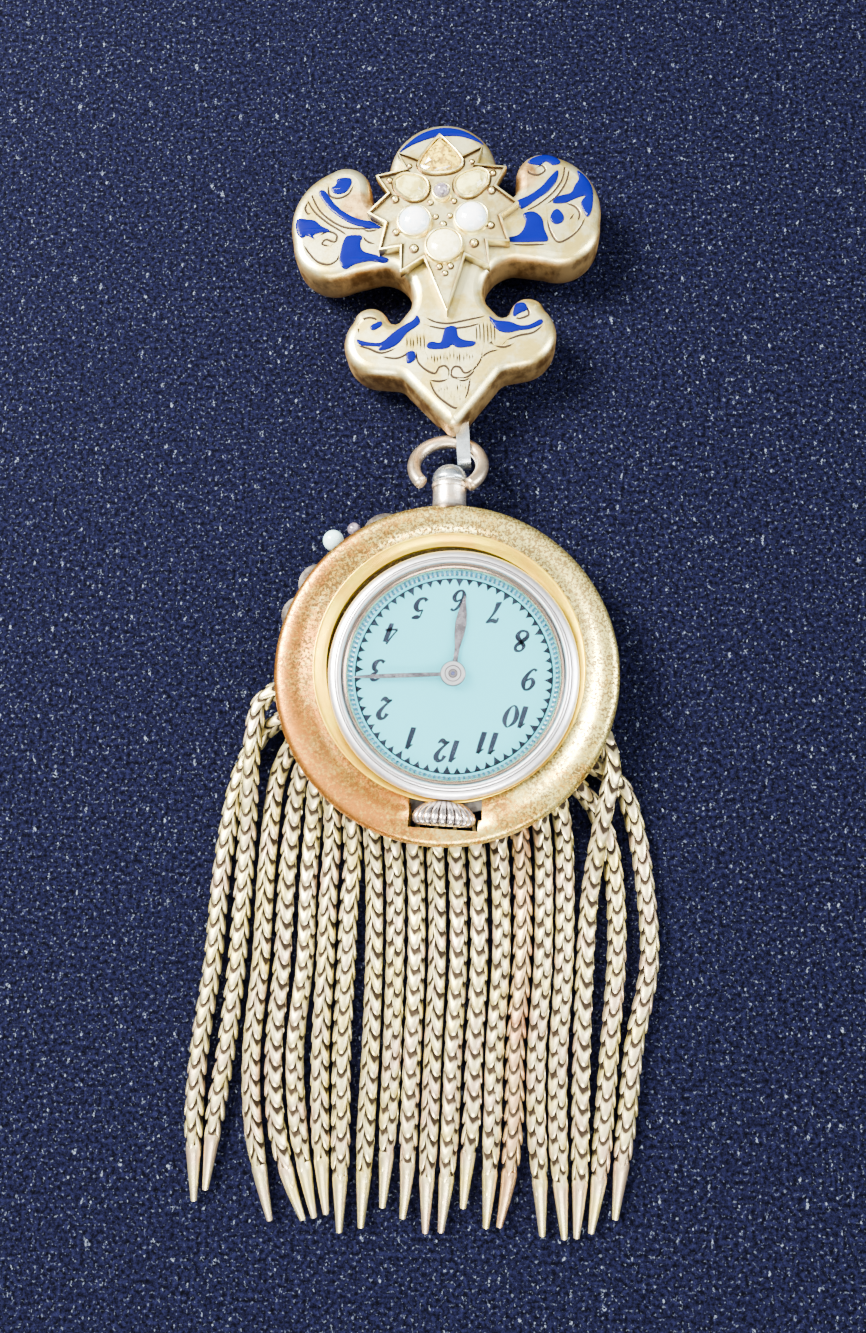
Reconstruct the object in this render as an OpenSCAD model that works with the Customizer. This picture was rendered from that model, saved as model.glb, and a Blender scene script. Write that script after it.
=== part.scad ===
// Chatelaine watch pin, lying dial up on a flat surface.
// A fleur-de-lis brooch with cobalt enamel and a jewelled star carries a strip
// bail and a sprung bow. From the bow hangs a round fob that lies on its front,
// with a small watch let into its back and twenty chains hung from its rim.
// Z is up, the surface is z = 0, the brooch lies towards +Y and the fringe
// towards -Y. All lengths are in millimetres, all angles in degrees.

/* [Brooch] */
// Width over both wings
brooch_w = 29; // [26:0.5:32]
// How far the brooch's tip reaches over the bow's wire
tip_lap = 0.1; // [0:0.05:0.2]
// How far the brooch's centre lies to the right of the middle
brooch_x = 2.55; // [2:0.05:3]
// Turn of the brooch, anticlockwise
brooch_turn = 2; // [0:0.5:4]
// Height of the brooch's back above the surface
back_z = 1.5; // [1.4:0.05:1.7]
// Thickness of the brooch, back to face
brooch_depth = 4.1; // [3.9:0.1:4.8]
// Width of the rolled shoulder round the face
edge_round = 1.0; // [0.7:0.1:1.4]
// Thickness of the stamped metal
shell_wall = 0.5; // [0.35:0.05:0.6]
// Thickness of the back plate
back_t = 0.4; // [0.3:0.05:0.5]
// Thickness of the enamel
enamel_t = 0.2; // [0.1:0.05:0.4]

/* [Pin stem] */
// Length of the pin stem between its hinge and its catch
stem_l = 17; // [14:0.5:19]
// Radius of the pin stem
stem_r = 0.4; // [0.3:0.05:0.55]
// Height of the pin stem's line above the brooch's centre
stem_up = 4.6; // [3:0.1:6]

/* [Star] */
// Height of the star plate
star_t = 0.9; // [0.7:0.05:1.2]
// Radius of the two round white stones
white_r = 1.45; // [1.2:0.05:1.55]
// Radius of the round cream stone
cream_r = 1.6; // [1.3:0.05:1.7]
// Radius of the two pear stones
pear_r = 1.15; // [0.9:0.05:1.25]
// Radius of the pointed top stone
crest_r = 1.3; // [1.2:0.05:1.6]
// Radius of the small pearl in the middle
pearl_r = 0.75; // [0.6:0.05:0.85]
// Wall of the metal collar round each stone
collar_t = 0.18; // [0.12:0.02:0.24]

/* [Fob] */
// Width of the plate's rim round the recess
rim_w = 3.2; // [3:0.1:3.4]
// Right offset of the fob's centre
fob_x = 2.3; // [1.8:0.1:2.8]
// Forward offset of the fob's centre
fob_y = -2.7; // [-3:0.1:-2.4]
// Height of the plate's top face
plate_z = 5.4; // [5.3:0.1:5.7]
// Thickness of the plate
plate_t = 1.4; // [1.2:0.1:1.6]
// Room round the watch in its recess, at the plate's face
recess_gap = 1; // [0.95:0.05:1.1]
// Right offset of the recess from the fob's centre
recess_dx = 0.3; // [0.1:0.1:0.4]
// Upward offset of the recess from the fob's centre
recess_dy = 0.5; // [0.3:0.1:0.6]
// Wall of the cup under the plate
cup_wall = 0.35; // [0.3:0.05:0.4]
// Width of the window that the crown lies in
window_w = 6.2; // [6:0.1:7]
// How far the plain front stands out past the recess
front_lap = 0.4; // [0.2:0.1:0.5]
// Thickness of the front
front_t = 1.5; // [1.3:0.05:1.5]

/* [Neck, bow and bail] */
// Radius of the neck post
post_r = 1.48; // [1.3:0.02:1.55]
// How far the neck post stands out past the plate's edge
post_out = 2.4; // [2.2:0.05:2.5]
// Height of the neck post's axis
neck_z = 3.7; // [3.5:0.1:4]
// Direction of the neck post from the fob's centre
neck_angle = 88.7; // [88:0.1:90]
// Radius of the domed cap on the post
cap_r = 1.6; // [1.5:0.05:1.65]
// Height of the cap along the post
cap_h = 1.7; // [1.3:0.05:1.75]
// Radius of the bow, to the middle of its wire
bow_r = 3.1; // [3.05:0.05:3.3]
// Radius of the bow's wire
bow_wire = 0.6; // [0.45:0.05:0.62]
// Height of the bow's middle above the surface
bow_z = 3.5; // [3.4:0.05:3.6]
// How far the bow leans down towards the brooch
bow_tilt = 25; // [18:1:28]
// Width of the bail's strip
bail_w = 1.2; // [0.9:0.05:1.25]
// Length of the bail over its round ends
bail_l = 5; // [4.8:0.1:5.1]
// Height of the bail over its strip
bail_h = 2.3; // [2.25:0.05:2.4]
// Thickness of the bail's strip
bail_t = 0.35; // [0.25:0.05:0.38]

/* [Watch] */
// Radius of the bezel
bezel_r = 10.8; // [10.7:0.05:10.85]
// Height of the bezel's top above the surface
bezel_z = 6.4; // [6.3:0.05:6.7]
// Right offset of the watch from the fob's centre
watch_dx = 0.7; // [0.6:0.05:0.75]
// Upward offset of the watch from the fob's centre
watch_dy = -0.25; // [-0.3:0.05:-0.1]
// Turn of the watch from twelve at the bottom
watch_turn = -4; // [-5:0.5:-3]
// Width of the bezel round the watch glass
bezel_w = 1.3; // [1.2:0.05:1.5]
// How far the ring round the dial reaches in past the glass's edge
dial_lap = 0.35; // [0.3:0.05:0.5]
// Height of the dial's face above the surface
dial_z = 4.6; // [4.55:0.05:4.7]
// Gap between the minute hand's tip and the edge of the dial
minute_gap = 0.45; // [0.3:0.05:0.9]
// How much shorter the hour hand is
hour_short = 1.7; // [1.3:0.1:3]
// Direction of the minute hand
minute_angle = 181; // [0:1:360]
// Direction of the hour hand
hour_angle = 81; // [0:1:360]
// Radius of the crown
crown_r = 2.75; // [2.4:0.05:2.8]
// Length of the crown along its stem
crown_l = 2.15; // [1.9:0.05:2.2]
// Height of the crown's stem above the surface
crown_z = 4.35; // [4.3:0.05:4.5]

/* [Fringe] */
// Diameter of a foxtail chain
chain_d = 1.66; // [1.4:0.02:1.68]
// Length of a chain's smooth tapered tip
taper_l = 6; // [4:0.5:8]
// Diameter of the blunt end of a tip
tip_d = 0.5; // [0.3:0.05:0.7]
// How far the half ring that the chains hang on lies inside the plate's edge
bar_in = 1.15; // [1.05:0.05:1.2]
// Radius of the half ring's wire
bar_wire = 0.27; // [0.22:0.01:0.28]
// Height of the half ring above the surface
bar_z = 2.3; // [2.25:0.05:2.4]
// Radius of the wire of a chain's hook
hook_wire = 0.17; // [0.13:0.01:0.18]
// Radius of a chain's hook, to the middle of its wire
hook_r = 0.52; // [0.5:0.01:0.55]

/* [Hidden] */

$fn = 48;
// Clearance between two pieces that are set against each other
gap = 0.03;
// Room for a cutting solid to run past a face
over = 0.5;
// Width of the joins in the middle of the brooch's outline arcs
arc_steps = 10;
// Points round the brooch's outline
outline_points = 132;

gold = "goldenrod";
steel = "lightsteelblue";
cobalt = "royalblue";
chain_gold = "darkkhaki";

// Half of the brooch's outline from the top of the dome round to the tip, as
// arcs. Lengths are shares of half the brooch's width, from its centre.
// Columns: centre x, centre y, radius, start angle, end angle
OUTLINE_ARCS = [
    [0.000, 0.690, 0.350, 90, -5],
    [0.410, 0.545, 0.058, 180, 360],
    [0.635, 0.617, 0.165, 180, 62],
    [0.593, 0.372, 0.405, 68, -12],
    [0.731, 0.248, 0.255, -6, -115],
    [0.441, -0.158, 0.212, 92, 200],
    [0.341, -0.286, 0.043, 225, 340],
    [0.497, -0.328, 0.117, 160, 35],
    [0.445, -0.455, 0.225, 45, -84],
    [0.366, -0.779, 0.086, 95, 150],
    [0.000, -0.986, 0.059, -40, -90],
];

// The shell's outer profile from its back edge up to its face.
// Columns: inset as a share of the shoulder, height as a share of the depth
SHELL_ROWS = [[0.45, 0], [0.12, 0.08], [0, 0.26], [0, 0.72], [0.1, 0.88], [0.4, 0.97], [1, 1]];

// Enamel fields, as shares of half the brooch's width. The two sides were
// cut by hand and aren't alike.
WING_LEFT = [
    [[-0.805, 0.585], [-0.77, 0.6], [-0.715, 0.515], [-0.65, 0.445], [-0.57, 0.392],
        [-0.495, 0.367], [-0.42, 0.353], [-0.41, 0.33], [-0.425, 0.312], [-0.505, 0.325],
        [-0.592, 0.354], [-0.68, 0.415], [-0.75, 0.487]],
    [[-0.95, 0.41], [-0.88, 0.404], [-0.834, 0.392], [-0.796, 0.353], [-0.743, 0.319],
        [-0.804, 0.311], [-0.851, 0.294], [-0.843, 0.269], [-0.889, 0.296],
        [-0.927, 0.283], [-0.955, 0.33]],
    [[-0.63, 0.269], [-0.577, 0.273], [-0.535, 0.262], [-0.548, 0.214], [-0.534, 0.164],
        [-0.489, 0.14], [-0.429, 0.119], [-0.37, 0.094], [-0.392, 0.079],
        [-0.483, 0.091], [-0.581, 0.077], [-0.65, 0.05], [-0.679, 0.1],
        [-0.67, 0.174], [-0.654, 0.23]],
    [[-0.723, 0.613], [-0.691, 0.64], [-0.684, 0.673], [-0.644, 0.682], [-0.599, 0.674],
        [-0.595, 0.641], [-0.623, 0.593], [-0.662, 0.575], [-0.707, 0.582]]];
WING_RIGHT = [
    [[0.734, 0.628], [0.723, 0.563], [0.667, 0.492], [0.59, 0.441], [0.497, 0.382],
        [0.453, 0.41], [0.47, 0.437], [0.546, 0.469], [0.624, 0.521], [0.687, 0.59]],
    [[0.549, 0.701], [0.583, 0.733], [0.658, 0.751], [0.725, 0.729], [0.752, 0.685],
        [0.707, 0.672], [0.664, 0.7], [0.617, 0.679]],
    [[0.861, 0.619], [0.911, 0.573], [0.945, 0.487], [0.936, 0.356], [0.902, 0.295],
        [0.87, 0.387], [0.903, 0.441], [0.843, 0.43], [0.767, 0.402], [0.693, 0.408],
        [0.732, 0.447], [0.808, 0.465], [0.841, 0.52], [0.866, 0.559]],
    [[0.503, 0.34], [0.563, 0.352], [0.613, 0.307], [0.627, 0.225], [0.645, 0.15],
        [0.567, 0.147], [0.471, 0.151], [0.412, 0.159], [0.402, 0.184],
        [0.458, 0.196], [0.497, 0.235], [0.515, 0.29]],
    [[0.72, 0.357], [0.751, 0.313], [0.745, 0.273], [0.7, 0.26], [0.671, 0.295],
        [0.689, 0.343]]];
SCROLL_LEFT = [
    [[-0.198, -0.307], [-0.186, -0.358], [-0.263, -0.414], [-0.321, -0.48],
        [-0.388, -0.516], [-0.445, -0.522], [-0.444, -0.497], [-0.557, -0.479],
        [-0.581, -0.443], [-0.529, -0.461], [-0.434, -0.473], [-0.357, -0.417],
        [-0.29, -0.371], [-0.223, -0.335]],
    [[-0.493, -0.358], [-0.431, -0.331], [-0.427, -0.357], [-0.479, -0.383]],
    [[-0.267, -0.554], [-0.225, -0.547], [-0.222, -0.597], [-0.269, -0.619]]];
SCROLL_RIGHT = [
    [[0.256, -0.343], [0.293, -0.371], [0.376, -0.386], [0.44, -0.415], [0.504, -0.415],
        [0.571, -0.384], [0.579, -0.41], [0.503, -0.44], [0.438, -0.445],
        [0.363, -0.456], [0.308, -0.437], [0.273, -0.389]],
    [[0.429, -0.259], [0.475, -0.267], [0.491, -0.308], [0.444, -0.33],
        [0.409, -0.348], [0.408, -0.308]]];
CREST = [
    [[-0.283, 0.838], [-0.169, 0.936], [-0.07, 0.979], [0.034, 0.988], [0.137, 0.962],
        [0.225, 0.904], [0.268, 0.858], [0.224, 0.882], [0.134, 0.919], [0.031, 0.933],
        [-0.072, 0.925], [-0.19, 0.887]]];
CENTRE = [
    [[-0.018, -0.4], [0.038, -0.398], [0.055, -0.465], [0.1, -0.493], [0.16, -0.507],
        [0.136, -0.531], [0.052, -0.535], [0.015, -0.513], [-0.023, -0.535],
        [-0.117, -0.534], [-0.144, -0.512], [-0.115, -0.489], [-0.059, -0.498],
        [-0.039, -0.449]]];

// The right half of the star's points and notches, from the top to the bottom,
// as shares of half the brooch's width
STAR = [[0, 0.875], [0.145, 0.712], [0.275, 0.762], [0.229, 0.642], [0.417, 0.607],
    [0.346, 0.480], [0.483, 0.352], [0.369, 0.273], [0.414, 0.088], [0.277, 0.102],
    [0.282, -0.071], [0.132, 0.016], [0, -0.357]];
// Shift of the whole star from the middle of the brooch's outline, as shares of
// half the brooch's width
STAR_AT = [-0.01, 0.03];
// Places of the stones on the star, as shares of half the brooch's width
WHITE_AT = [0.18, 0.275];
CREAM_AT = [0, 0.097];
PEAR_AT = [0.17, 0.505];
CREST_AT = [0, 0.708];
PEARL_AT = [0, 0.465];
// Turn of the right pear stone's point from +X, and how far each point stands out
pear_turn = 28;
pear_point = 0.75;
// The right half of the crest stone's outline, from its foot up to its point, as
// shares of its radius
CREST_STONE = [[0, -1.15], [0.6, -1.12], [1.2, -0.9], [1.5, -0.45], [1.12, 0.25],
    [0.58, 0.95], [0, 1.5]];

// Scrolls round the upper edge of the hidden front.
// Columns: direction, reach past the plate's edge, radius
FRONT_SCROLLS = [[30, 0.3, 1.9], [48, 0.9, 1.9], [64, 1.1, 1.9], [79, 0.9, 1.9],
    [95, 1.3, 2.0], [113, 1.8, 2.2], [129, 1.3, 1.9], [143, 1.8, 1.9], [156, 1.6, 1.8]];
// The pearl and the bead at the front's edge: direction, distance past the
// plate's edge, radius
FRONT_PEARL = [129, 1.75, 1.0];
FRONT_BEAD = [121.5, 1.65, 0.62];

// The fringe: for each chain the direction of its hook on the half ring, then
// the few points that it runs through on the surface, as x, y and how far it is
// lifted by a chain that lies under it
FRINGE = [
    [194, [[-14.7, -7.9, 0], [-16.6, -12, 0], [-17.8, -19.5, 0], [-18.35, -27.5, 0],
        [-19.25, -34.6, 0], [-19.55, -40.3, 0], [-19.3, -47.2, 0]]],
    [184, [[-14.4, -5.2, 1.8], [-15, -9, 1.8], [-15.3, -13, 1.1], [-15.7, -18, 0],
        [-16.2, -27.5, 0], [-16.9, -34.6, 0], [-17.7, -40.3, 0], [-18.35, -46.3, 0]]],
    [203, [[-13.1, -12, 0], [-13.8, -19.5, 0], [-14.1, -27.5, 0], [-14.7, -34.6, 0],
        [-14.5, -40.3, 0], [-13.6, -45.2, 0], [-12.75, -48.6, 0]]],
    [211, [[-11.4, -14, 0], [-11.95, -20.5, 0], [-12.2, -27.5, 0], [-12.75, -34.6, 0],
        [-12.5, -40.3, 0], [-11.3, -45.1, 0], [-9.95, -48.5, 0]]],
    [219, [[-9.7, -15.5, 0], [-10.05, -21, 0], [-10.2, -27.5, 0], [-10.9, -34.6, 0],
        [-10.6, -40.3, 0], [-9.75, -45.1, 0], [-9, -48.3, 0]]],
    [227, [[-7.95, -17, 0], [-8.25, -22, 0], [-8.4, -27.5, 0], [-8.7, -34.5, 0],
        [-8.65, -40.2, 0], [-8.35, -45.1, 0], [-8, -48, 0]]],
    [235.5, [[-6.1, -18.5, 0], [-6.4, -23, 0], [-6.55, -27.5, 0], [-6.85, -34.5, 0],
        [-6.85, -40.2, 0], [-6.85, -45.1, 0], [-6.85, -49.4, 0]]],
    [243.5, [[-4.2, -20, 0], [-4.15, -27.4, 0], [-4.35, -34.5, 0], [-4.65, -40.2, 0],
        [-4.85, -45, 0], [-5.05, -49, 0]]],
    [251.5, [[-2.3, -21, 0], [-2.3, -27.4, 0], [-2.5, -34.5, 0], [-2.75, -40.1, 0],
        [-2.95, -43.6, 0], [-3.25, -47.4, 0]]],
    [259, [[-0.45, -21.5, 0], [-0.45, -27.4, 0], [-0.75, -34.4, 0], [-1, -40.1, 0],
        [-1.2, -44.9, 0], [-1.55, -48.2, 0]]],
    [266, [[1.35, -22, 0], [1.35, -27.4, 0], [1, -34.4, 0], [0.75, -40.1, 0],
        [0.5, -44.9, 0], [0.35, -49.3, 0]]],
    [273, [[3.2, -22, 0], [3.2, -27.4, 0], [2.75, -34.4, 0], [2.5, -40, 0],
        [2.15, -44.9, 0], [1.65, -49.2, 0]]],
    [280, [[5, -22, 0], [5, -27.4, 0], [4.55, -34.4, 0], [4.3, -40, 0],
        [3.9, -43.6, 0], [3.5, -47.3, 0]]],
    [287.5, [[6.95, -21.5, 0], [6.9, -27.3, 0], [6.3, -34.4, 0], [6.05, -40, 0],
        [5.75, -44.8, 0], [5.4, -48.8, 0]]],
    [295, [[8.85, -20.5, 0], [8.7, -27.3, 0], [8.05, -34.3, 0], [7.85, -40, 0],
        [7.35, -44.8, 0], [6.5, -48.7, 0]]],
    [303, [[10.7, -19, 0], [10.5, -27.3, 0], [9.85, -34.3, 0], [9.7, -39.9, 0],
        [9.9, -44.7, 0], [10.05, -49.3, 0]]],
    [311, [[12.55, -18, 0], [12.3, -27.3, 0], [11.7, -34.3, 0], [11.5, -39.9, 0],
        [11.6, -44.7, 0], [11.85, -49.5, 0]]],
    [338, [[16.55, -11, 2.6], [15.9, -14.4, 2.2], [15.2, -18, 1.2], [14.6, -22, 0],
        [14.1, -27.3, 0], [13.65, -34.3, 0], [13.4, -39.9, 0], [13.25, -44.7, 0],
        [12.85, -49.4, 0]]],
    [319.5, [[15.2, -14.3, 0], [16.4, -17.5, 0], [16.85, -22, 0], [16.75, -27.3, 0],
        [16, -34.2, 0], [15.4, -39.8, 0], [14.85, -44.6, 0], [14.05, -49, 0]]],
    [328, [[17.4, -12.2, 0], [18.5, -15, 0], [19.3, -20, 0], [19.55, -27.3, 0],
        [18.05, -34.2, 0], [17.3, -39.8, 0], [16.55, -44.6, 0], [16.05, -47.9, 0]]],
];
// Sides of a chain's tube, and rings between two points of its route
chain_sides = 8;
rings_per_span = 2;
// Directions round the bar where a hook starts and where it leaves
hook_start = -50;
hook_end = -270;
hook_steps = 7;

// Values that follow from the sizes above
half_w = brooch_w / 2;
face_z = back_z + brooch_depth;
recess_r = bezel_r + recess_gap;
fob_r = recess_r + rim_w;
front_r = recess_r + front_lap;
bar_r = fob_r - bar_in;
glass_r = bezel_r - bezel_w;
dial_r = glass_r - dial_lap;
minute_l = dial_r - minute_gap;
hour_l = minute_l - hour_short;
plate_low = plate_z - plate_t;
cup_low = front_t + 0.05;
cup_floor = cup_low + cup_wall;
recess_low_r = recess_r - 0.45;
watch_x = fob_x + watch_dx;
watch_y = fob_y + watch_dy;
dial_t = 0.25;
case_r = bezel_r - 0.5;
case_low = cup_floor + 0.08;
dial_seat = dial_z - dial_t - 0.05;
bezel_low = plate_z - 0.35;
glass_seat = bezel_z - 0.45;
arbor_r = 0.35;
collet_bore = arbor_r + 0.07;
collet_r = collet_bore + 0.3;
hour_z = dial_z + 0.2;
hand_t = 0.14;
minute_z = hour_z + hand_t + 0.2;
stem_d = 0.9;
neck_top = fob_r + post_out;
window_reach = recess_r + 0.95;
bow_mid = [fob_x + 0.23, fob_y + neck_top + cap_h + 0.05];
tip_y = bow_mid.y + bow_r - tip_lap;
brooch_y = tip_y + 1.045 * half_w;
bow_seat = -52;
bow_free = 221;
bail_low_y = tip_y - 3;
bail_mid = [brooch_x + 1.35, bail_low_y + bail_l / 2];
bail_turn = 2.5;
bail_z = bow_z - 0.9 * bow_r * sin(bow_tilt) + 0.1;
bail_hole_r = bail_h / 2 - bail_t;
bail_half_l = bail_l / 2 - bail_h / 2;
star_z = face_z + gap;
star_top = star_z + star_t;

// Outline helpers

function arc_run(a) = [for (i = [0 : arc_steps])
    let (t = a[3] + (a[4] - a[3]) * i / arc_steps)
    half_w * [a[0] + a[2] * cos(t), a[1] + a[2] * sin(t)]];

right_half = [for (a = OUTLINE_ARCS) each arc_run(a)];
left_half = [for (i = [len(right_half) - 2 : -1 : 1]) [-right_half[i].x, right_half[i].y]];
clockwise = concat(right_half, left_half);
corners = [for (i = [len(clockwise) - 1 : -1 : 0]) clockwise[i]];
corner_count = len(corners);
run_to = [for (i = 0, s = 0; i <= corner_count;
    s = s + norm(corners[(i + 1) % corner_count] - corners[i % corner_count]), i = i + 1) s];
run_x = [for (i = [0 : corner_count]) [run_to[i], corners[i % corner_count].x]];
run_y = [for (i = [0 : corner_count]) [run_to[i], corners[i % corner_count].y]];

// The outline again, with its points evenly spaced
outline = [for (i = [0 : outline_points - 1])
    let (s = run_to[corner_count] * i / outline_points) [lookup(s, run_x), lookup(s, run_y)]];

function wrap(i) = (i + outline_points) % outline_points;
inward = [for (i = [0 : outline_points - 1])
    let (d = outline[wrap(i + 1)] - outline[wrap(i - 1)]) [-d.y, d.x] / norm(d)];

// How far a point may move inwards before it meets the far side
room = [for (i = [0 : outline_points - 1]) min([for (q = outline)
    let (d = q - outline[i], reach = inward[i] * d)
    reach > 0.01 ? d * d / (2 * reach) : brooch_w])];

function inset(depth, share) = [for (i = [0 : outline_points - 1])
    outline[i] + inward[i] * min(depth, share * room[i])];

// A closed loop through a few points, rounded by a spline
function spline(a, b, c, d, t) = ((2 * b) + (c - a) * t + (2 * a - 5 * b + 4 * c - d) * t * t
    + (3 * b - a - 3 * c + d) * t * t * t) / 2;
function smooth_loop(points, steps = 3) = let (n = len(points)) [for (i = [0 : n - 1], k = [0 : steps - 1])
    spline(points[(i + n - 1) % n], points[i], points[(i + 1) % n], points[(i + 2) % n], k / steps)];

// A round outline drawn out to a point towards +X
function drop(r, point, n) = [for (i = [0 : n - 1])
    let (t = 360 * i / n) r * (1 + point * pow(max(0, cos(t)), 4)) * [cos(t), sin(t)]];

// Twice the area of a triangle, above 0 where it turns left
function turn(a, b, c) = (b.x - a.x) * (c.y - a.y) - (b.y - a.y) * (c.x - a.x);
function holds(p, a, b, c) = turn(a, b, p) > 0 && turn(b, c, p) > 0 && turn(c, a, p) > 0;

// Whether a corner of a loop can be cut off as a triangle, with no other point in it
function is_ear(points, loop, k) = let (n = len(loop),
    a = points[loop[(k + n - 1) % n]], b = points[loop[k]], c = points[loop[(k + 1) % n]])
    turn(a, b, c) > 0.00001 && len([for (i = loop) if (holds(points[i], a, b, c)) i]) == 0;
function next_ear(points, loop, k = 0) =
    k >= len(loop) ? 0 : is_ear(points, loop, k) ? k : next_ear(points, loop, k + 1);

// A flat face with hollows in its outline, cut into triangles corner by corner
function triangles(points, loop) = len(loop) < 3 ? [] : let (n = len(loop), k = next_ear(points, loop))
    concat([[loop[(k + n - 1) % n], loop[k], loop[(k + 1) % n]]],
        triangles(points, [for (i = [1 : n - 1]) loop[(k + i) % n]]));
function moved(faces, start, flip) =
    [for (f = faces) flip ? [start + f[2], start + f[1], start + f[0]] : [start + f[0], start + f[1], start + f[2]]];

// Rings joined into one closed skin, with flat ends
module skin(rings) {
    n = len(rings[0]);
    last = (len(rings) - 1) * n;
    polyhedron(
        points = [for (ring = rings) each ring],
        faces = concat(
            [[for (i = [0 : n - 1]) i]],
            [for (r = [0 : len(rings) - 2], i = [0 : n - 1])
                [r * n + i, (r + 1) * n + i, (r + 1) * n + (i + 1) % n, r * n + (i + 1) % n]],
            [[for (i = [n - 1 : -1 : 0]) last + i]]),
        convexity = 6);
}

// Put a piece that is drawn from the brooch's own centre in its place
module on_brooch() {
    translate([brooch_x, brooch_y, 0]) rotate([0, 0, brooch_turn]) children();
}

module on_fob() {
    translate([fob_x, fob_y, 0]) children();
}

module on_watch() {
    translate([watch_x, watch_y, 0]) children();
}

// The bail's strip, drawn out by a margin for the slot that it passes through
module bail_block(margin) {
    w = bail_w + 2 * margin;
    end_r = bail_h / 2 + margin;
    translate([bail_mid.x, bail_mid.y, bail_z]) rotate([0, 0, bail_turn]) {
        for (s = [-1, 1])
            translate([-w / 2, s * bail_half_l, 0]) rotate([0, 90, 0]) cylinder(r = end_r, h = w);
        translate([-w / 2, -bail_half_l, -end_r]) cube([w, 2 * bail_half_l, 2 * end_r]);
    }
}

// Brooch

module brooch_shell() {
    inner_top = brooch_depth - shell_wall;
    outer_rings = [for (row = SHELL_ROWS)
        [for (p = inset(row[0] * edge_round, 0.8)) [p.x, p.y, back_z + row[1] * brooch_depth]]];
    inner_rows = [[edge_round + shell_wall / 2, inner_top],
        [shell_wall + 0.15, inner_top - 0.7 * edge_round],
        [shell_wall + 0.12, 0.3 * brooch_depth],
        [0.45 * edge_round + shell_wall, 0]];
    inner_rings = [for (row = inner_rows)
        [for (p = inset(row[0], 0.9)) [p.x, p.y, back_z + row[1]]]];
    n = outline_points;
    upper = len(SHELL_ROWS);
    rings = concat(outer_rings, inner_rings);
    color(gold) difference() {
        on_brooch() polyhedron(
            points = [for (ring = rings) each ring],
            faces = concat(
                [for (r = [0 : upper - 2], i = [0 : n - 1])
                    [r * n + i, (r + 1) * n + i, (r + 1) * n + (i + 1) % n, r * n + (i + 1) % n]],
                moved(triangles(outer_rings[upper - 1], [for (i = [0 : n - 1]) i]), (upper - 1) * n, true),
                moved(triangles(inner_rings[0], [for (i = [0 : n - 1]) i]), upper * n, false),
                [for (r = [upper : len(rings) - 2], i = [0 : n - 1])
                    [r * n + i, (r + 1) * n + i, (r + 1) * n + (i + 1) % n, r * n + (i + 1) % n]],
                [for (i = [0 : n - 1])
                    [(len(rings) - 1) * n + i, i, (i + 1) % n, (len(rings) - 1) * n + (i + 1) % n]]),
            convexity = 8);
        bail_block(0.1);
        // Room under the tip for the bow's wire
        translate([brooch_x - bow_r, tip_y - 1, 0])
            cube([2 * bow_r, 2.2, bow_z - bow_r * sin(bow_tilt) + bow_wire + 0.25]);
    }
}

module brooch_back() {
    color(gold) difference() {
        on_brooch() translate([0, 0, back_z])
            linear_extrude(back_t) polygon(inset(0.45 * edge_round + shell_wall + 0.08, 0.93));
        bail_block(0.1);
    }
}

module brooch_pin() {
    hinge_r = (back_z - gap) / 2;
    color(gold) on_brooch() translate([-stem_l / 2, stem_up, hinge_r]) rotate([0, 90, 0]) {
        cylinder(r = stem_r, h = stem_l + 1.5);
        translate([0, 0, -1.2]) cylinder(r = hinge_r, h = 2.4);
        translate([0, 0, stem_l - 0.9]) cylinder(r = hinge_r, h = 1.8);
    }
}

// The left half of an outline from its right half, whose first and last point
// are on the middle line
function mirrored(half) = [for (i = [len(half) - 2 : -1 : 1]) [-half[i].x, half[i].y]];

// The star's outline, widened by a factor about its middle
function star_outline(widen) = let (mid = [0, 0.25],
    right = [for (p = STAR) half_w * (mid + widen * (p - mid))])
    [for (p = concat(right, mirrored(right))) half_w * STAR_AT + p];

// Enamel fields from their shares of half the brooch's width
module enamel(fields) {
    color(cobalt) on_brooch() translate([0, 0, face_z + gap]) linear_extrude(enamel_t)
        for (shares = fields) difference() {
            polygon(smooth_loop([for (p = shares) half_w * p]));
            polygon(star_outline(1.03));
            translate(half_w * (CREST_AT + STAR_AT)) polygon(crest_outline(collar_t + 2 * gap));
        }
}

// Star and stones

// Outline of the seat of each pointed stone, widened by a margin
function pear_outline(margin) = drop(pear_r + margin, pear_point, 14);
function crest_outline(margin) =
    [for (p = concat(CREST_STONE, mirrored(CREST_STONE))) (crest_r + margin) * p];

seat_z = star_top - 0.25;
collar_top = star_top + 0.25;

module at_share(share) {
    translate(half_w * (share + STAR_AT)) children();
}

// The four pointed and round outlines of the star's stones, as solids
module stone_seats(margin, low, high) {
    for (s = [-1, 1]) {
        at_share([s * WHITE_AT.x, WHITE_AT.y]) translate([0, 0, low])
            cylinder(r = white_r + margin, h = high - low);
        at_share([s * PEAR_AT.x, PEAR_AT.y]) translate([0, 0, low])
            rotate([0, 0, s > 0 ? pear_turn : 180 - pear_turn])
                linear_extrude(high - low) polygon(pear_outline(margin));
    }
    at_share(CREAM_AT) translate([0, 0, low]) cylinder(r = cream_r + margin, h = high - low);
    at_share(PEARL_AT) translate([0, 0, low]) cylinder(r = pearl_r + margin, h = high - low);
    at_share(CREST_AT) translate([0, 0, low])
        linear_extrude(high - low) polygon(crest_outline(margin));
}

module star_setting() {
    color(gold) on_brooch() difference() {
        union() {
            translate([0, 0, star_z]) linear_extrude(star_t) polygon(star_outline(1));
            stone_seats(gap + collar_t, star_z + 0.1, collar_top);
        }
        stone_seats(gap, seat_z, collar_top + over);
    }
}

// A domed stone or pearl with a flat base
module cabochon(r, h) {
    rotate_extrude() polygon(concat([[0, 0], [r, 0]],
        [for (i = [0 : 8]) [r * cos(i * 90 / 8), 0.3 * h + 0.7 * h * sin(i * 90 / 8)]]));
}

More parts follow.
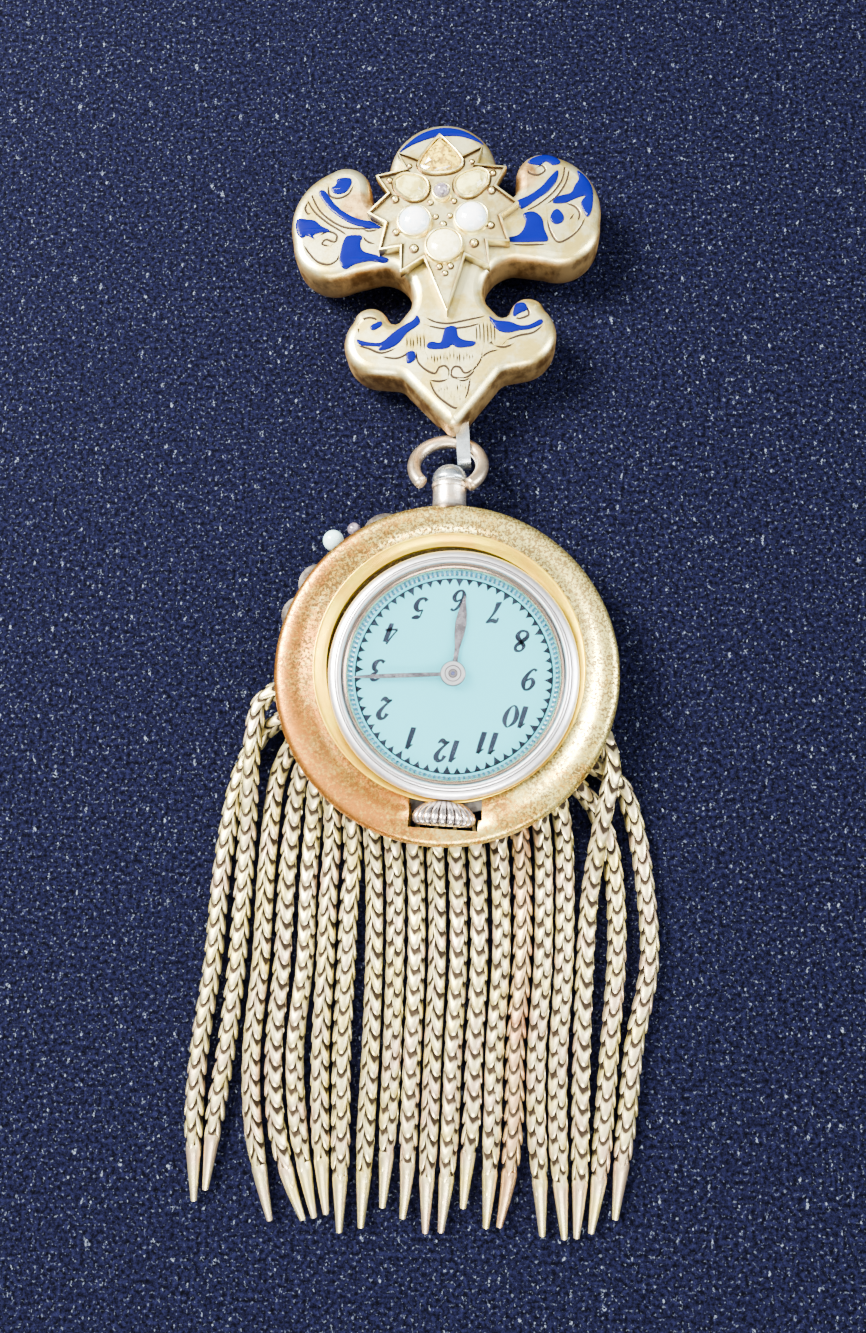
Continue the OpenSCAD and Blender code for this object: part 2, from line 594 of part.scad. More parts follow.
// A flat-cut stone: a table, a ring of facets and a thin girdle
module cut_stone(girdle, h) {
    skin([for (row = [[1, 0], [1, 0.35], [0.62, 1]])
        [for (p = girdle) [row[0] * p.x, row[0] * p.y, row[1] * h]]]);
}

module stone_white(side) {
    color("white") on_brooch() at_share([side * WHITE_AT.x, WHITE_AT.y])
        translate([0, 0, seat_z + gap]) cabochon(white_r, 1.15);
}

module stone_cream() {
    color("cornsilk") on_brooch() at_share(CREAM_AT) translate([0, 0, seat_z + gap])
        cabochon(cream_r, 1.0);
}

module stone_pear(side) {
    color("khaki") on_brooch() at_share([side * PEAR_AT.x, PEAR_AT.y])
        translate([0, 0, seat_z + gap]) rotate([0, 0, side > 0 ? pear_turn : 180 - pear_turn])
            cut_stone(pear_outline(0), 0.75);
}

module stone_crest() {
    color("darkgoldenrod") on_brooch() at_share(CREST_AT) translate([0, 0, seat_z + gap])
        cut_stone(crest_outline(0), 0.7);
}

module star_pearl() {
    color("thistle") on_brooch() at_share(PEARL_AT)
        translate([0, 0, seat_z + gap]) cabochon(pearl_r, 1.1);
}

// Bail and bow

module bail() {
    color(steel) difference() {
        bail_block(0);
        translate([bail_mid.x, bail_mid.y, bail_z]) rotate([0, 0, bail_turn]) {
            for (s = [-1, 1]) translate([-bail_w / 2 - over, s * bail_half_l, 0])
                rotate([0, 90, 0]) cylinder(r = bail_hole_r, h = bail_w + 2 * over);
            translate([-bail_w / 2 - over, -bail_half_l, -bail_hole_r])
                cube([bail_w + 2 * over, 2 * bail_half_l, 2 * bail_hole_r]);
        }
    }
}

// The pin inside the brooch's tip that the bail turns on
module bail_pin() {
    pin_r = bail_hole_r / 2;
    color(steel) translate([bail_mid.x, bail_mid.y, bail_z]) rotate([0, 0, bail_turn])
        translate([-0.8 * bail_w, bail_half_l + bail_hole_r - pin_r - 0.05, 0])
            rotate([0, 90, 0]) cylinder(r = pin_r, h = 1.3 * bail_w);
}

// The bow's wire, from its seat on the post round to its sprung free end
module bow() {
    color(gold) translate([bow_mid.x, bow_mid.y, bow_z]) rotate([-bow_tilt, 0, 0])
        rotate([0, 0, bow_seat]) rotate_extrude(angle = bow_free - bow_seat) translate([bow_r, 0]) circle(r = bow_wire);
}

module along_neck() {
    on_fob() translate([0, 0, neck_z]) rotate([0, 0, neck_angle]) rotate([0, 90, 0]) children();
}

module neck_cap() {
    color(steel) along_neck() translate([0, 0, neck_top + gap])
        rotate_extrude() polygon(concat([[0, 0], [cap_r - 0.15, 0]],
            [for (i = [0 : 9]) [cap_r * cos(i * 10), 0.15 + (cap_h - 0.15) * sin(i * 10)]]));
}

// Fob

module plate_blank() {
    edge = plate_t / 2;
    rotate_extrude() polygon(concat([[0, plate_low]],
        [for (i = [-4 : 4]) [fob_r - edge + edge * cos(i * 22.5), plate_low + edge + edge * sin(i * 22.5)]],
        [[0, plate_z]]));
}

module fob_plate() {
    first = FRINGE[1][0] - 4;
    last = FRINGE[17][0] + 4;
    post_low = recess_r + 0.9;
    notch_w = 2 * crown_r + 0.4;
    color(gold) difference() {
        union() {
            on_fob() plate_blank();
            on_fob() translate([recess_dx, recess_dy, cup_low])
                cylinder(r = recess_r + cup_wall, h = plate_low + over - cup_low);
            along_neck() translate([0, 0, post_low])
                cylinder(r = post_r, h = neck_top - post_low);
            on_fob() translate([0, 0, bar_z]) {
                rotate([0, 0, first]) rotate_extrude(angle = last - first)
                    translate([bar_r, 0]) circle(r = bar_wire);
                for (a = concat([first, last],
                    [for (i = [3, 8, 13, 15]) (FRINGE[i][0] + FRINGE[i + 1][0]) / 2])) rotate([0, 0, a]) translate([recess_r - 0.2, 0, 0]) rotate([0, 90, 0])
                        cylinder(r = bar_wire, h = bar_r - recess_r + 0.2);
            }
        }
        on_fob() translate([recess_dx, recess_dy, cup_floor])
            cylinder(r1 = recess_low_r, r2 = recess_r, h = plate_z - cup_floor);
        on_fob() translate([recess_dx, recess_dy, plate_z - 0.01])
            cylinder(r = recess_r, h = over);
        on_fob() translate([recess_dx - 0.3 - window_w / 2, -window_reach, cup_low - over])
            cube([window_w, window_reach - bezel_r + 2, plate_z]);
        on_watch() translate([0, 0, cup_low - over]) rotate([0, 0, watch_turn])
            translate([-notch_w / 2, -bezel_r - crown_l - 0.3, 0]) cube([notch_w, 3, plate_z]);
    }
}

// A low stepped scroll boss of the hidden front
module boss(r, h) {
    cylinder(r = r, h = 0.6 * h);
    cylinder(r = 0.8 * r, h = 0.85 * h);
    cylinder(r = 0.55 * r, h = h);
}

module fob_front() {
    color(gold) on_fob() difference() {
        union() {
            cylinder(r = front_r, h = front_t);
            for (s = FRONT_SCROLLS) rotate([0, 0, s[0]]) {
                translate([fob_r + s[1] - s[2], 0, 0]) boss(s[2], front_t);
                translate([0, -s[2] / 2, 0]) cube([fob_r + s[1] - s[2], s[2], front_t / 2]);
            }
        }
        for (p = [FRONT_PEARL, FRONT_BEAD]) rotate([0, 0, p[0]])
            translate([fob_r + p[1], 0, p[2] + 0.1]) sphere(r = p[2] + gap);
    }
}

module front_drop(p) {
    on_fob() rotate([0, 0, p[0]]) translate([fob_r + p[1], 0, p[2] + 0.1]) sphere(r = p[2]);
}

module front_pearl() {
    color("lightcyan") front_drop(FRONT_PEARL);
}

module front_bead() {
    color("lightsteelblue") front_drop(FRONT_BEAD);
}

// Watch

module watch_case() {
    color("silver") on_watch() difference() {
        translate([0, 0, case_low]) cylinder(r = case_r, h = bezel_low - gap - case_low);
        translate([0, 0, dial_seat]) cylinder(r = dial_r + 0.35, h = plate_z);
        translate([0, 0, case_low + 0.9]) cylinder(r = collet_bore, h = plate_z);
        translate([0, 0, crown_z]) rotate([0, 0, watch_turn]) rotate([90, 0, 0])
            translate([0, 0, dial_r + 0.36]) cylinder(r = stem_d / 2 + 0.05, h = 4);
    }
}

module watch_bezel() {
    color("lightpink") on_watch() rotate_extrude() polygon([
        [case_r - 0.6, bezel_low], [bezel_r - 0.12, bezel_low], [bezel_r, bezel_low + 0.15],
        [bezel_r, bezel_low + 0.5], [bezel_r - 0.2, bezel_low + 0.85], [bezel_r - 0.5, bezel_z - 0.2],
        [bezel_r - 0.6, bezel_z - 0.2], [glass_r + 0.35, bezel_z], [glass_r + gap, bezel_z - 0.02],
        [glass_r + gap, glass_seat - gap], [glass_r - 0.25, glass_seat - gap],
        [glass_r - 0.05, bezel_low]]);
}

module rehaut() {
    top = glass_seat - 0.1;
    color("peru") on_watch() rotate_extrude() polygon([[dial_r, dial_z + gap],
        [dial_r + 0.3, dial_z + gap], [dial_r + 0.3, bezel_low], [glass_r - 0.1, bezel_low],
        [glass_r - 0.3, top], [glass_r - 0.4, top]]);
}

module watch_glass() {
    rise = 0.65;
    edge_z = 0.35;
    outer = [for (i = [0 : 10]) [glass_r * (1 - i / 10), glass_seat + edge_z + rise * (1 - pow(1 - i / 10, 2))]];
    inner = [for (i = [10 : -1 : 0]) [(glass_r - 0.35) * (1 - i / 10),
        glass_seat + edge_z - 0.35 + rise * (1 - pow(1 - i / 10, 2))]];
    color("azure", 0.3) on_watch() rotate_extrude()
        polygon(concat([[glass_r, glass_seat]], outer, inner));
}

module dial() {
    color("paleturquoise") on_watch() translate([0, 0, dial_z - dial_t]) difference() {
        cylinder(r = dial_r + 0.25, h = dial_t);
        translate([0, 0, -over]) cylinder(r = collet_r + 0.12, h = dial_t + 2 * over);
    }
}

// A leaf shaped hand drawn along +X: half widths at shares of its length
function leaf(l, rows) = concat([for (r = rows) [l * r[0], r[1]]],
    [for (i = [len(rows) - 1 : -1 : 0]) [l * rows[i][0], -rows[i][1]]]);

module hour_hand() {
    shape = leaf(hour_l, [[-0.02, 0.16], [0.3, 0.16], [0.5, 0.42], [0.68, 0.36], [0.82, 0.14], [1, 0.04]]);
    color("dimgray") on_watch() difference() {
        union() {
            translate([0, 0, hour_z]) rotate([0, 0, hour_angle]) linear_extrude(hand_t) polygon(shape);
            translate([0, 0, hour_z]) cylinder(r = 1, h = hand_t);
            translate([0, 0, dial_z - dial_t]) cylinder(r = collet_r, h = hour_z + hand_t - dial_z + dial_t);
        }
        translate([0, 0, dial_seat]) cylinder(r = collet_bore, h = plate_z);
    }
}

module minute_hand() {
    shape = leaf(minute_l, [[-0.02, 0.14], [0.25, 0.15], [0.6, 0.13], [1, 0.04]]);
    color("dimgray") on_watch() {
        translate([0, 0, minute_z]) rotate([0, 0, minute_angle]) linear_extrude(hand_t) polygon(shape);
        translate([0, 0, minute_z]) cylinder(r = 0.85, h = hand_t + 0.05);
        translate([0, 0, case_low + 1.2]) cylinder(r = arbor_r, h = minute_z + 0.3 - case_low - 1.2);
    }
}

// The fluted crown on its stem, drawn along +Z from the edge of the case
module crown() {
    color("tan") on_watch() translate([0, 0, crown_z]) rotate([0, 0, watch_turn]) rotate([90, 0, 0]) {
        translate([0, 0, dial_r + 0.4]) cylinder(r = stem_d / 2, h = bezel_r + 1 - dial_r - 0.4);
        translate([0, 0, bezel_r + gap]) rotate_extrude() polygon([[0, 0], [0.72 * crown_r, 0],
            [0.9 * crown_r, 0.12 * crown_l], [crown_r, 0.38 * crown_l], [0.97 * crown_r, 0.55 * crown_l],
            [0.82 * crown_r, 0.78 * crown_l], [0.55 * crown_r, 0.95 * crown_l], [0.3 * crown_r, crown_l],
            [0, crown_l]]);
    }
}

// Fringe

chain_r = chain_d / 2;
tip_r = tip_d / 2;

// One ring of a tube: its middle, its radius, the heading in plan and the pitch
function tube_ring(p, r, heading, pitch) = [for (k = [0 : chain_sides - 1])
    let (a = 360 * (k + 0.5) / chain_sides, side = r * cos(a), up = r * sin(a))
    [p.x - side * sin(heading) - up * cos(heading) * sin(pitch),
        p.y + side * cos(heading) - up * sin(heading) * sin(pitch),
        p.z + up * cos(pitch)]];

// A place at a distance out from the fob's centre in one direction
function out_at(angle, distance, z) =
    [fob_x + distance * cos(angle), fob_y + distance * sin(angle), z];

// The hook that goes round the half ring, as tube rings
function hook_rings(angle) = [for (i = [0 : hook_steps])
    let (t = hook_start + (hook_end - hook_start) * i / hook_steps)
    tube_ring(out_at(angle, bar_r + hook_r * cos(t), bar_z + hook_r * sin(t)), hook_wire, angle, t - 90)];

// The chain swells from the hook's wire over its first stretch.
// Columns: distance out from the half ring, radius as a share of the chain's
SWELL = [[0.45, 0.55], [0.9, 0.95]];

function path_points(route) = let (angle = route[0], lift = route[1][0][2] > 0 ? 0.6 : 0)
    concat([out_at(angle, bar_r + SWELL[1][0], bar_z + lift + 0.1)],
        [for (p = route[1]) [p[0], p[1], chain_r + p[2]]]);

function path_at(points, i, t) = let (n = len(points) - 1)
    spline(points[max(0, i - 1)], points[i], points[min(n, i + 1)], points[min(n, i + 2)], t);

// The free part of a chain: the points of a spline through its route
function free_run(points) = [for (i = [0 : len(points) - 2], k = [0 : rings_per_span - 1])
    if (i + k > 0) path_at(points, i, k / rings_per_span)];

module chain(index) {
    route = FRINGE[index];
    angle = route[0];
    points = path_points(route);
    lift = points[0].z - bar_z;
    run = concat([points[0]], free_run(points), [points[len(points) - 1]]);
    count = len(run);
    left_at = [for (i = count - 1, s = 0; i >= 0; i = i - 1,
        s = s + (i >= 0 ? norm(run[i + 1] - run[i]) : 0)) s];
    radius_at = [for (i = [0 : count - 1])
        let (t = min(1, left_at[count - 1 - i] / taper_l)) tip_r + (chain_r - tip_r) * t];
    run_rings = [for (i = [0 : count - 1])
        let (before = run[max(0, i - 1)], after = run[min(count - 1, i + 1)], d = after - before,
            heading = i == 0 ? angle : atan2(d.y, d.x), r = i == 0 ? SWELL[1][1] * chain_r : radius_at[i],
            pitch = i == 0 ? -20 : atan2(d.z, norm([d.x, d.y])),
            z = i == 0 ? run[i].z : max(r, run[i].z - chain_r + r))
        tube_ring([run[i].x, run[i].y, z], r, heading, pitch)];
    first = tube_ring(out_at(angle, bar_r + SWELL[0][0], bar_z + hook_r + lift * 0.3),
        SWELL[0][1] * chain_r, angle, -10);
    color(chain_gold) skin(concat(hook_rings(angle), [first], run_rings));
}

brooch_shell();
brooch_back();
brooch_pin();
enamel(CREST);  // enamel_crest
enamel(WING_LEFT);  // enamel_wing_left
enamel(WING_RIGHT);  // enamel_wing_right
enamel(SCROLL_LEFT);  // enamel_scroll_left
enamel(SCROLL_RIGHT);  // enamel_scroll_right
enamel(CENTRE);  // enamel_centre
star_setting();
stone_white(-1);  // stone_white_left
stone_white(1);  // stone_white_right
stone_cream();
stone_pear(-1);  // stone_pear_left
stone_pear(1);  // stone_pear_right
stone_crest();
star_pearl();
bail();
bail_pin();
bow();
neck_cap();
fob_plate();
fob_front();
front_pearl();
front_bead();
watch_case();
watch_bezel();
rehaut();
watch_glass();
dial();
hour_hand();
minute_hand();
crown();
chain(0);  // chain_01
chain(1);  // chain_02
chain(2);  // chain_03
chain(3);  // chain_04
chain(4);  // chain_05
chain(5);  // chain_06
chain(6);  // chain_07
chain(7);  // chain_08
chain(8);  // chain_09
chain(9);  // chain_10
chain(10);  // chain_11
chain(11);  // chain_12
chain(12);  // chain_13
chain(13);  // chain_14
chain(14);  // chain_15
chain(15);  // chain_16
chain(16);  // chain_17
chain(17);  // chain_18
chain(18);  // chain_19
chain(19);  // chain_20
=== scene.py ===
# %% [markdown]
# # A chatelaine watch pin, from frame to finish
# A brooch, a bow, a round fob with a watch in it and a fringe of foxtail
# chains. The metal parts are already solids in the frame, at their real size.
# This lesson gives them their engraved, woven and worn surfaces.

# %% Load the frame
import math
import random

import bmesh
import bpy
import numpy as np
from mathutils import Matrix, Vector
from mathutils.geometry import delaunay_2d_cdt, tessellate_polygon


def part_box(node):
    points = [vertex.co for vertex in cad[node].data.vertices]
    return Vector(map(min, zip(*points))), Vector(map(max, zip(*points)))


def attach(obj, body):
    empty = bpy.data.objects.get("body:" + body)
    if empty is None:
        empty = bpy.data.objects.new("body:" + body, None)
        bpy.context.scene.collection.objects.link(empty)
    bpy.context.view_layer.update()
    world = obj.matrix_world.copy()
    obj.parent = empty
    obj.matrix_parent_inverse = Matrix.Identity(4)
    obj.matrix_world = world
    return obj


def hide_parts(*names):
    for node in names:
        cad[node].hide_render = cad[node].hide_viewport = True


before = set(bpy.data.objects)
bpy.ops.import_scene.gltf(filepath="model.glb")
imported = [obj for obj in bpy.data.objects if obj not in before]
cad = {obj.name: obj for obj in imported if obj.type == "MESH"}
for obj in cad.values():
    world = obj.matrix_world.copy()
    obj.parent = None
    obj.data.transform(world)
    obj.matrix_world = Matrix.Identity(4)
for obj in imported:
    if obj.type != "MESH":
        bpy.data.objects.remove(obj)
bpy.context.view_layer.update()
print("nodes loaded:", len(cad))

# %% [markdown]
# Every length is in metres, so small sizes are written in millimetres and
# multiplied by MM. Places are read from the frame's boxes where a node shows
# them, so that the looks stay on the solids.

# %% Sizes and places
MM = 0.001


def middle(node):
    low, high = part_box(node)
    return (Vector(low) + Vector(high)) / 2


def top_of(node):
    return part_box(node)[1][2]


# Middle of the watch, of the fob's disc and of the recess that the watch sits in
WATCH = middle("watch_bezel")
FOB_AT = Vector((2.3 * MM, -2.7 * MM, 0))
RECESS_AT = FOB_AT + Vector((0.3 * MM, 0.5 * MM, 0))
# The brooch: its middle, how far it is turned, half its width and its face's height
BROOCH_AT = Vector((2.55 * MM, 34.6 * MM, 0))
BROOCH_TURN = math.radians(2)
HALF_W = 14.5 * MM
FACE_Z = 5.6 * MM
DIAL_Z = top_of("dial")
WATCH_TURN = math.radians(-4)
print("watch at", [round(v / MM, 2) for v in WATCH])

# %% [markdown]
# The photograph looks down on the pin from a little below and to the right of
# the middle. A camera is a place, a point that it looks at and a focal length;
# the sensor's width belongs to the longer side of the picture.

# %% Camera
# The photograph's longer side and the focal length, in its pixels
PHOTO_H, FOCAL_PX = 1333, 995
SENSOR_MM = 36
LOOK_AT = Vector((0.95 * MM, -1.45 * MM, 0))
CAMERA_DISTANCE = 91.2 * MM
LEAN_DOWN, LEAN_RIGHT = math.radians(9.2), math.radians(3.5)


def make_camera():
    away = Vector((math.tan(LEAN_RIGHT), -math.tan(LEAN_DOWN), 1)).normalized()
    right = Vector((0, 1, 0)).cross(away).normalized()
    up = away.cross(right)
    data = bpy.data.cameras.new("camera")
    camera = bpy.data.objects.new("camera", data)
    data.sensor_width = SENSOR_MM
    data.lens = SENSOR_MM * FOCAL_PX / PHOTO_H
    data.clip_start = 1 * MM
    basis = Matrix((right, up, away)).transposed().to_4x4()
    camera.matrix_world = Matrix.Translation(LOOK_AT + away * CAMERA_DISTANCE) @ basis
    bpy.context.scene.collection.objects.link(camera)
    bpy.context.scene.camera = camera
    return camera


camera = make_camera()
print("lens", round(camera.data.lens, 2), "mm")

# %% [markdown]
# Polished metal shows what stands round it. Large soft panels at both sides,
# a bright one near the camera and a pale dome give it light and dark bands.

# %% Lights and sky
# Place and size of each panel in metres, its watts and its colour
PANELS = {
    "key": ((-0.20, 0.12, 0.24), (0.12, 0.16), 11, (1, 0.97, 0.9)),
    "fill": ((0.24, 0.02, 0.16), (0.1, 0.22), 2.0, (0.93, 0.96, 1)),
    "front": ((0.02, -0.24, 0.2), (0.22, 0.08), 2.1, (1, 0.98, 0.95)),
}
# Height and colour of the sky, from the horizon to straight above
SKY = [(0.0, (0.01, 0.01, 0.02, 1)), (0.6, (0.20, 0.21, 0.24, 1)), (1.0, (1, 0.97, 0.9, 1))]
SKY_STRENGTH = 2.15


def add_panel(name, place, size, watts, color):
    """A soft rectangle of light that faces the middle of the frame."""
    data = bpy.data.lights.new(name, "AREA")
    data.shape = "RECTANGLE"
    data.size, data.size_y = size
    data.energy, data.color = watts, color
    light = bpy.data.objects.new(name, data)
    light.location = place
    light.rotation_euler = (-Vector(place)).to_track_quat("-Z", "Y").to_euler()
    bpy.context.scene.collection.objects.link(light)


def make_sky():
    """A dome whose colour follows the height of the direction."""
    world = bpy.data.worlds.new("studio")
    bpy.context.scene.world = world
    world.use_nodes = True
    nodes, links = world.node_tree.nodes, world.node_tree.links
    direction = nodes.new("ShaderNodeTexCoord")
    parts = nodes.new("ShaderNodeSeparateXYZ")
    tones = nodes.new("ShaderNodeValToRGB")
    for element, (height, color) in zip(tones.color_ramp.elements, SKY[::2]):
        element.position, element.color = height, color
    tones.color_ramp.elements.new(SKY[1][0]).color = SKY[1][1]
    links.new(direction.outputs["Generated"], parts.inputs[0])
    links.new(parts.outputs[2], tones.inputs[0])
    links.new(tones.outputs[0], nodes["Background"].inputs["Color"])
    nodes["Background"].inputs["Strength"].default_value = SKY_STRENGTH


for panel, values in PANELS.items():
    add_panel(panel, *values)
make_sky()

# %% [markdown]
# Worn metal is no one colour: dirt, rubbed spots and scratches are values that
# change across the surface. In Blender each step of such a sum is a Math node.
# This class lets the sum be written as plain Python instead, because a line
# such as 1 - noise * 2 is easier to read and to change than three nodes.

# %% Shader values


class Value:
    """An output of a node, on which + - * and ** work as on a number."""

    def __init__(self, shader, socket):
        self.shader, self.socket = shader, socket

    def _math(self, operation, *others):
        inputs = dict(enumerate((self,) + others))
        return self.shader.make("ShaderNodeMath", {"operation": operation}, inputs)

    def __add__(self, other):
        return self._math("ADD", other)

    def __sub__(self, other):
        return self._math("SUBTRACT", other)

    def __rsub__(self, other):
        return self.shader.make("ShaderNodeMath", {"operation": "SUBTRACT"}, {0: other, 1: self})

    def __mul__(self, other):
        return self._math("MULTIPLY", other)

    def __pow__(self, other):
        return self._math("POWER", other)

    __radd__ = __add__
    __rmul__ = __mul__

    def clamp(self, low=0.0, high=1.0):
        return self._math("MAXIMUM", low)._math("MINIMUM", high)

    def step(self, low, high):
        """0 below low and 1 above high, with a soft rise between."""
        settings = {"interpolation_type": "SMOOTHSTEP"}
        inputs = {"Value": self, "From Min": low, "From Max": high}
        return self.shader.make("ShaderNodeMapRange", settings, inputs)


print("operators on values:", [name for name in vars(Value) if name.startswith("__r")])

# %% [markdown]
# A finish is one Principled shader and the nodes that feed it. `make` adds any
# node from its type, its settings and its inputs. The other helpers are short
# names for what this pin needs: noise in waves a millimetre, a mix of colours,
# a ramp, small relief, and the depth that a mesh keeps for its crevices.

# %% Materials


class Shader:
    """A material with its Principled shader and the nodes that feed it."""

    def __init__(self, name, color=(0.8, 0.8, 0.8), metallic=0.0, roughness=0.5, **uniform):
        self.material = bpy.data.materials.new(name)
        self.material.use_nodes = True
        self.tree = self.material.node_tree
        self.main = self.tree.nodes["Principled BSDF"]
        self.put("Base Color", color)
        self.put("Metallic", metallic)
        self.put("Roughness", roughness)
        for key, value in uniform.items():
            self.put(key.replace("_", " "), value)

    def put(self, key, value):
        """Sets or links one socket of the Principled shader."""
        self._feed(self.main.inputs[key], value)

    def _feed(self, socket, value):
        if isinstance(value, Value):
            self.tree.links.new(value.socket, socket)
        elif socket.type == "RGBA" and len(value) == 3:
            socket.default_value = (*value, 1)
        else:
            socket.default_value = value

    def make(self, kind, settings=None, inputs=None, output=0):
        """Adds a node: its settings first, then the values or links of its sockets."""
        node = self.tree.nodes.new(kind)
        for key, value in (settings or {}).items():
            if key == "stops":
                self._set_stops(node.color_ramp, value)
            else:
                setattr(node, key, value)
        for key, value in (inputs or {}).items():
            self._feed(node.inputs[key], value)
        return Value(self, node.outputs[output])

    def _set_stops(self, ramp, stops):
        while len(ramp.elements) < len(stops):
            ramp.elements.new(1)
        for element, (place, color) in zip(ramp.elements, stops):
            element.position, element.color = place, (*color, 1)

    def place(self):
        """The point in the object's own metres."""
        return self.make("ShaderNodeTexCoord", output="Object")

    def split(self, vector):
        node = self.tree.nodes.new("ShaderNodeSeparateXYZ")
        self._feed(node.inputs[0], vector)
        return [Value(self, out) for out in node.outputs]

    def vector(self, operation, *operands, output="Vector"):
        inputs = dict(enumerate(operands))
        return self.make("ShaderNodeVectorMath", {"operation": operation}, inputs, output)

    def scaled(self, x, y=None, z=None):
        """The point with its axes scaled, in waves a millimetre."""
        factors = tuple(v / MM for v in (x, y if y else x, z if z else x))
        return self.vector("MULTIPLY", self.place(), factors)

    def near(self, place, reach, soft):
        """1 close to a place on the plan and 0 beyond its reach, in millimetres."""
        x, y, z = self.split(self.scaled(1))
        away = ((x - place[0]) ** 2 + (y - place[1]) ** 2) ** 0.5
        return 1 - away.step(reach - soft, reach)

    def noise(self, per_mm, detail=3.0, roughness=0.55, stretch=(1, 1, 1)):
        """Cloudy values about 0.5, with so many waves a millimetre."""
        where = self.scaled(*(per_mm * s for s in stretch))
        inputs = {"Vector": where, "Scale": 1.0, "Detail": detail, "Roughness": roughness}
        return self.make("ShaderNodeTexNoise", None, inputs, "Fac")

    def depth(self):
        """How deep the point lies in a crevice, from 0 to 1, as its mesh says."""
        return self.make("ShaderNodeAttribute", {"attribute_name": "depth"}, output="Fac")

    def mix(self, mask, first, second):
        """A colour between two, by a mask from 0 to 1."""
        inputs = {0: mask, 6: first, 7: second}
        return self.make("ShaderNodeMix", {"data_type": "RGBA"}, inputs, 2)

    def ramp(self, value, *stops):
        return self.make("ShaderNodeValToRGB", {"stops": stops}, {0: value}, "Color")

    def bump(self, height, strength, depth):
        """Small relief by a height value, its depth in millimetres."""
        inputs = {"Height": height, "Strength": strength, "Distance": depth * MM}
        self.put("Normal", self.make("ShaderNodeBump", None, inputs))


print("helpers of a shader:", [name for name in vars(Shader) if not name.startswith("_")])

# %% [markdown]
# The pin lies on dark blue velvet. Up close such cloth is a field of short
# threads with dust and threads of lint on it. Cut threads would take millions
# of faces. One flat square with a fine noise for the pile and two sparse ones
# for lint and dust looks the same from where the camera stands.

# %% Velvet
FLOOR_SIZE = 1.2
# Colour at the foot and at the tips of the pile, and that of the lint
PILE_LOW, PILE_HIGH = (0.000285, 0.000315, 0.00117), (0.0057, 0.0063, 0.0234)
LINT = (0.095, 0.115, 0.155)


def velvet():
    shader = Shader("floor", roughness=0.9, Specular_IOR_Level=0.02)
    pile = shader.noise(2.6, 4, 0.7).step(0.36, 0.72)
    cloth = shader.mix(pile, PILE_LOW, PILE_HIGH)
    long_threads = shader.noise(1.9, 2, 0.5, (1, 0.5, 1)).step(0.65, 0.72)
    lint = long_threads * shader.noise(4.5, 2).step(0.45, 0.6)
    dust = shader.noise(3.4, 2, 0.5).step(0.6, 0.72) * 0.35
    shader.put("Base Color", shader.mix((lint + dust).clamp(), cloth, LINT))
    shader.bump(pile, 0.5, 0.15)
    return shader.material


def make_floor():
    mesh = bpy.data.meshes.new("floor")
    half = FLOOR_SIZE / 2
    corners = [(-half, -half, 0), (half, -half, 0), (half, half, 0), (-half, half, 0)]
    mesh.from_pydata(corners, [], [(0, 1, 2, 3)])
    mesh.materials.append(velvet())
    floor = bpy.data.objects.new("floor", mesh)
    bpy.context.scene.collection.objects.link(floor)
    return floor


floor = make_floor()
print("floor material:", floor.data.materials[0].name)

# %% [markdown]
# ## The fringe
# A foxtail chain is woven from small bent loops. What shows is a row of
# overlapping scales on each of its four sides, and each scale's lower lip is a
# U that casts a thin dark line. Swept tubes give its size in the frame. Here
# each scale is a small curved petal, bent round the chain's own line.

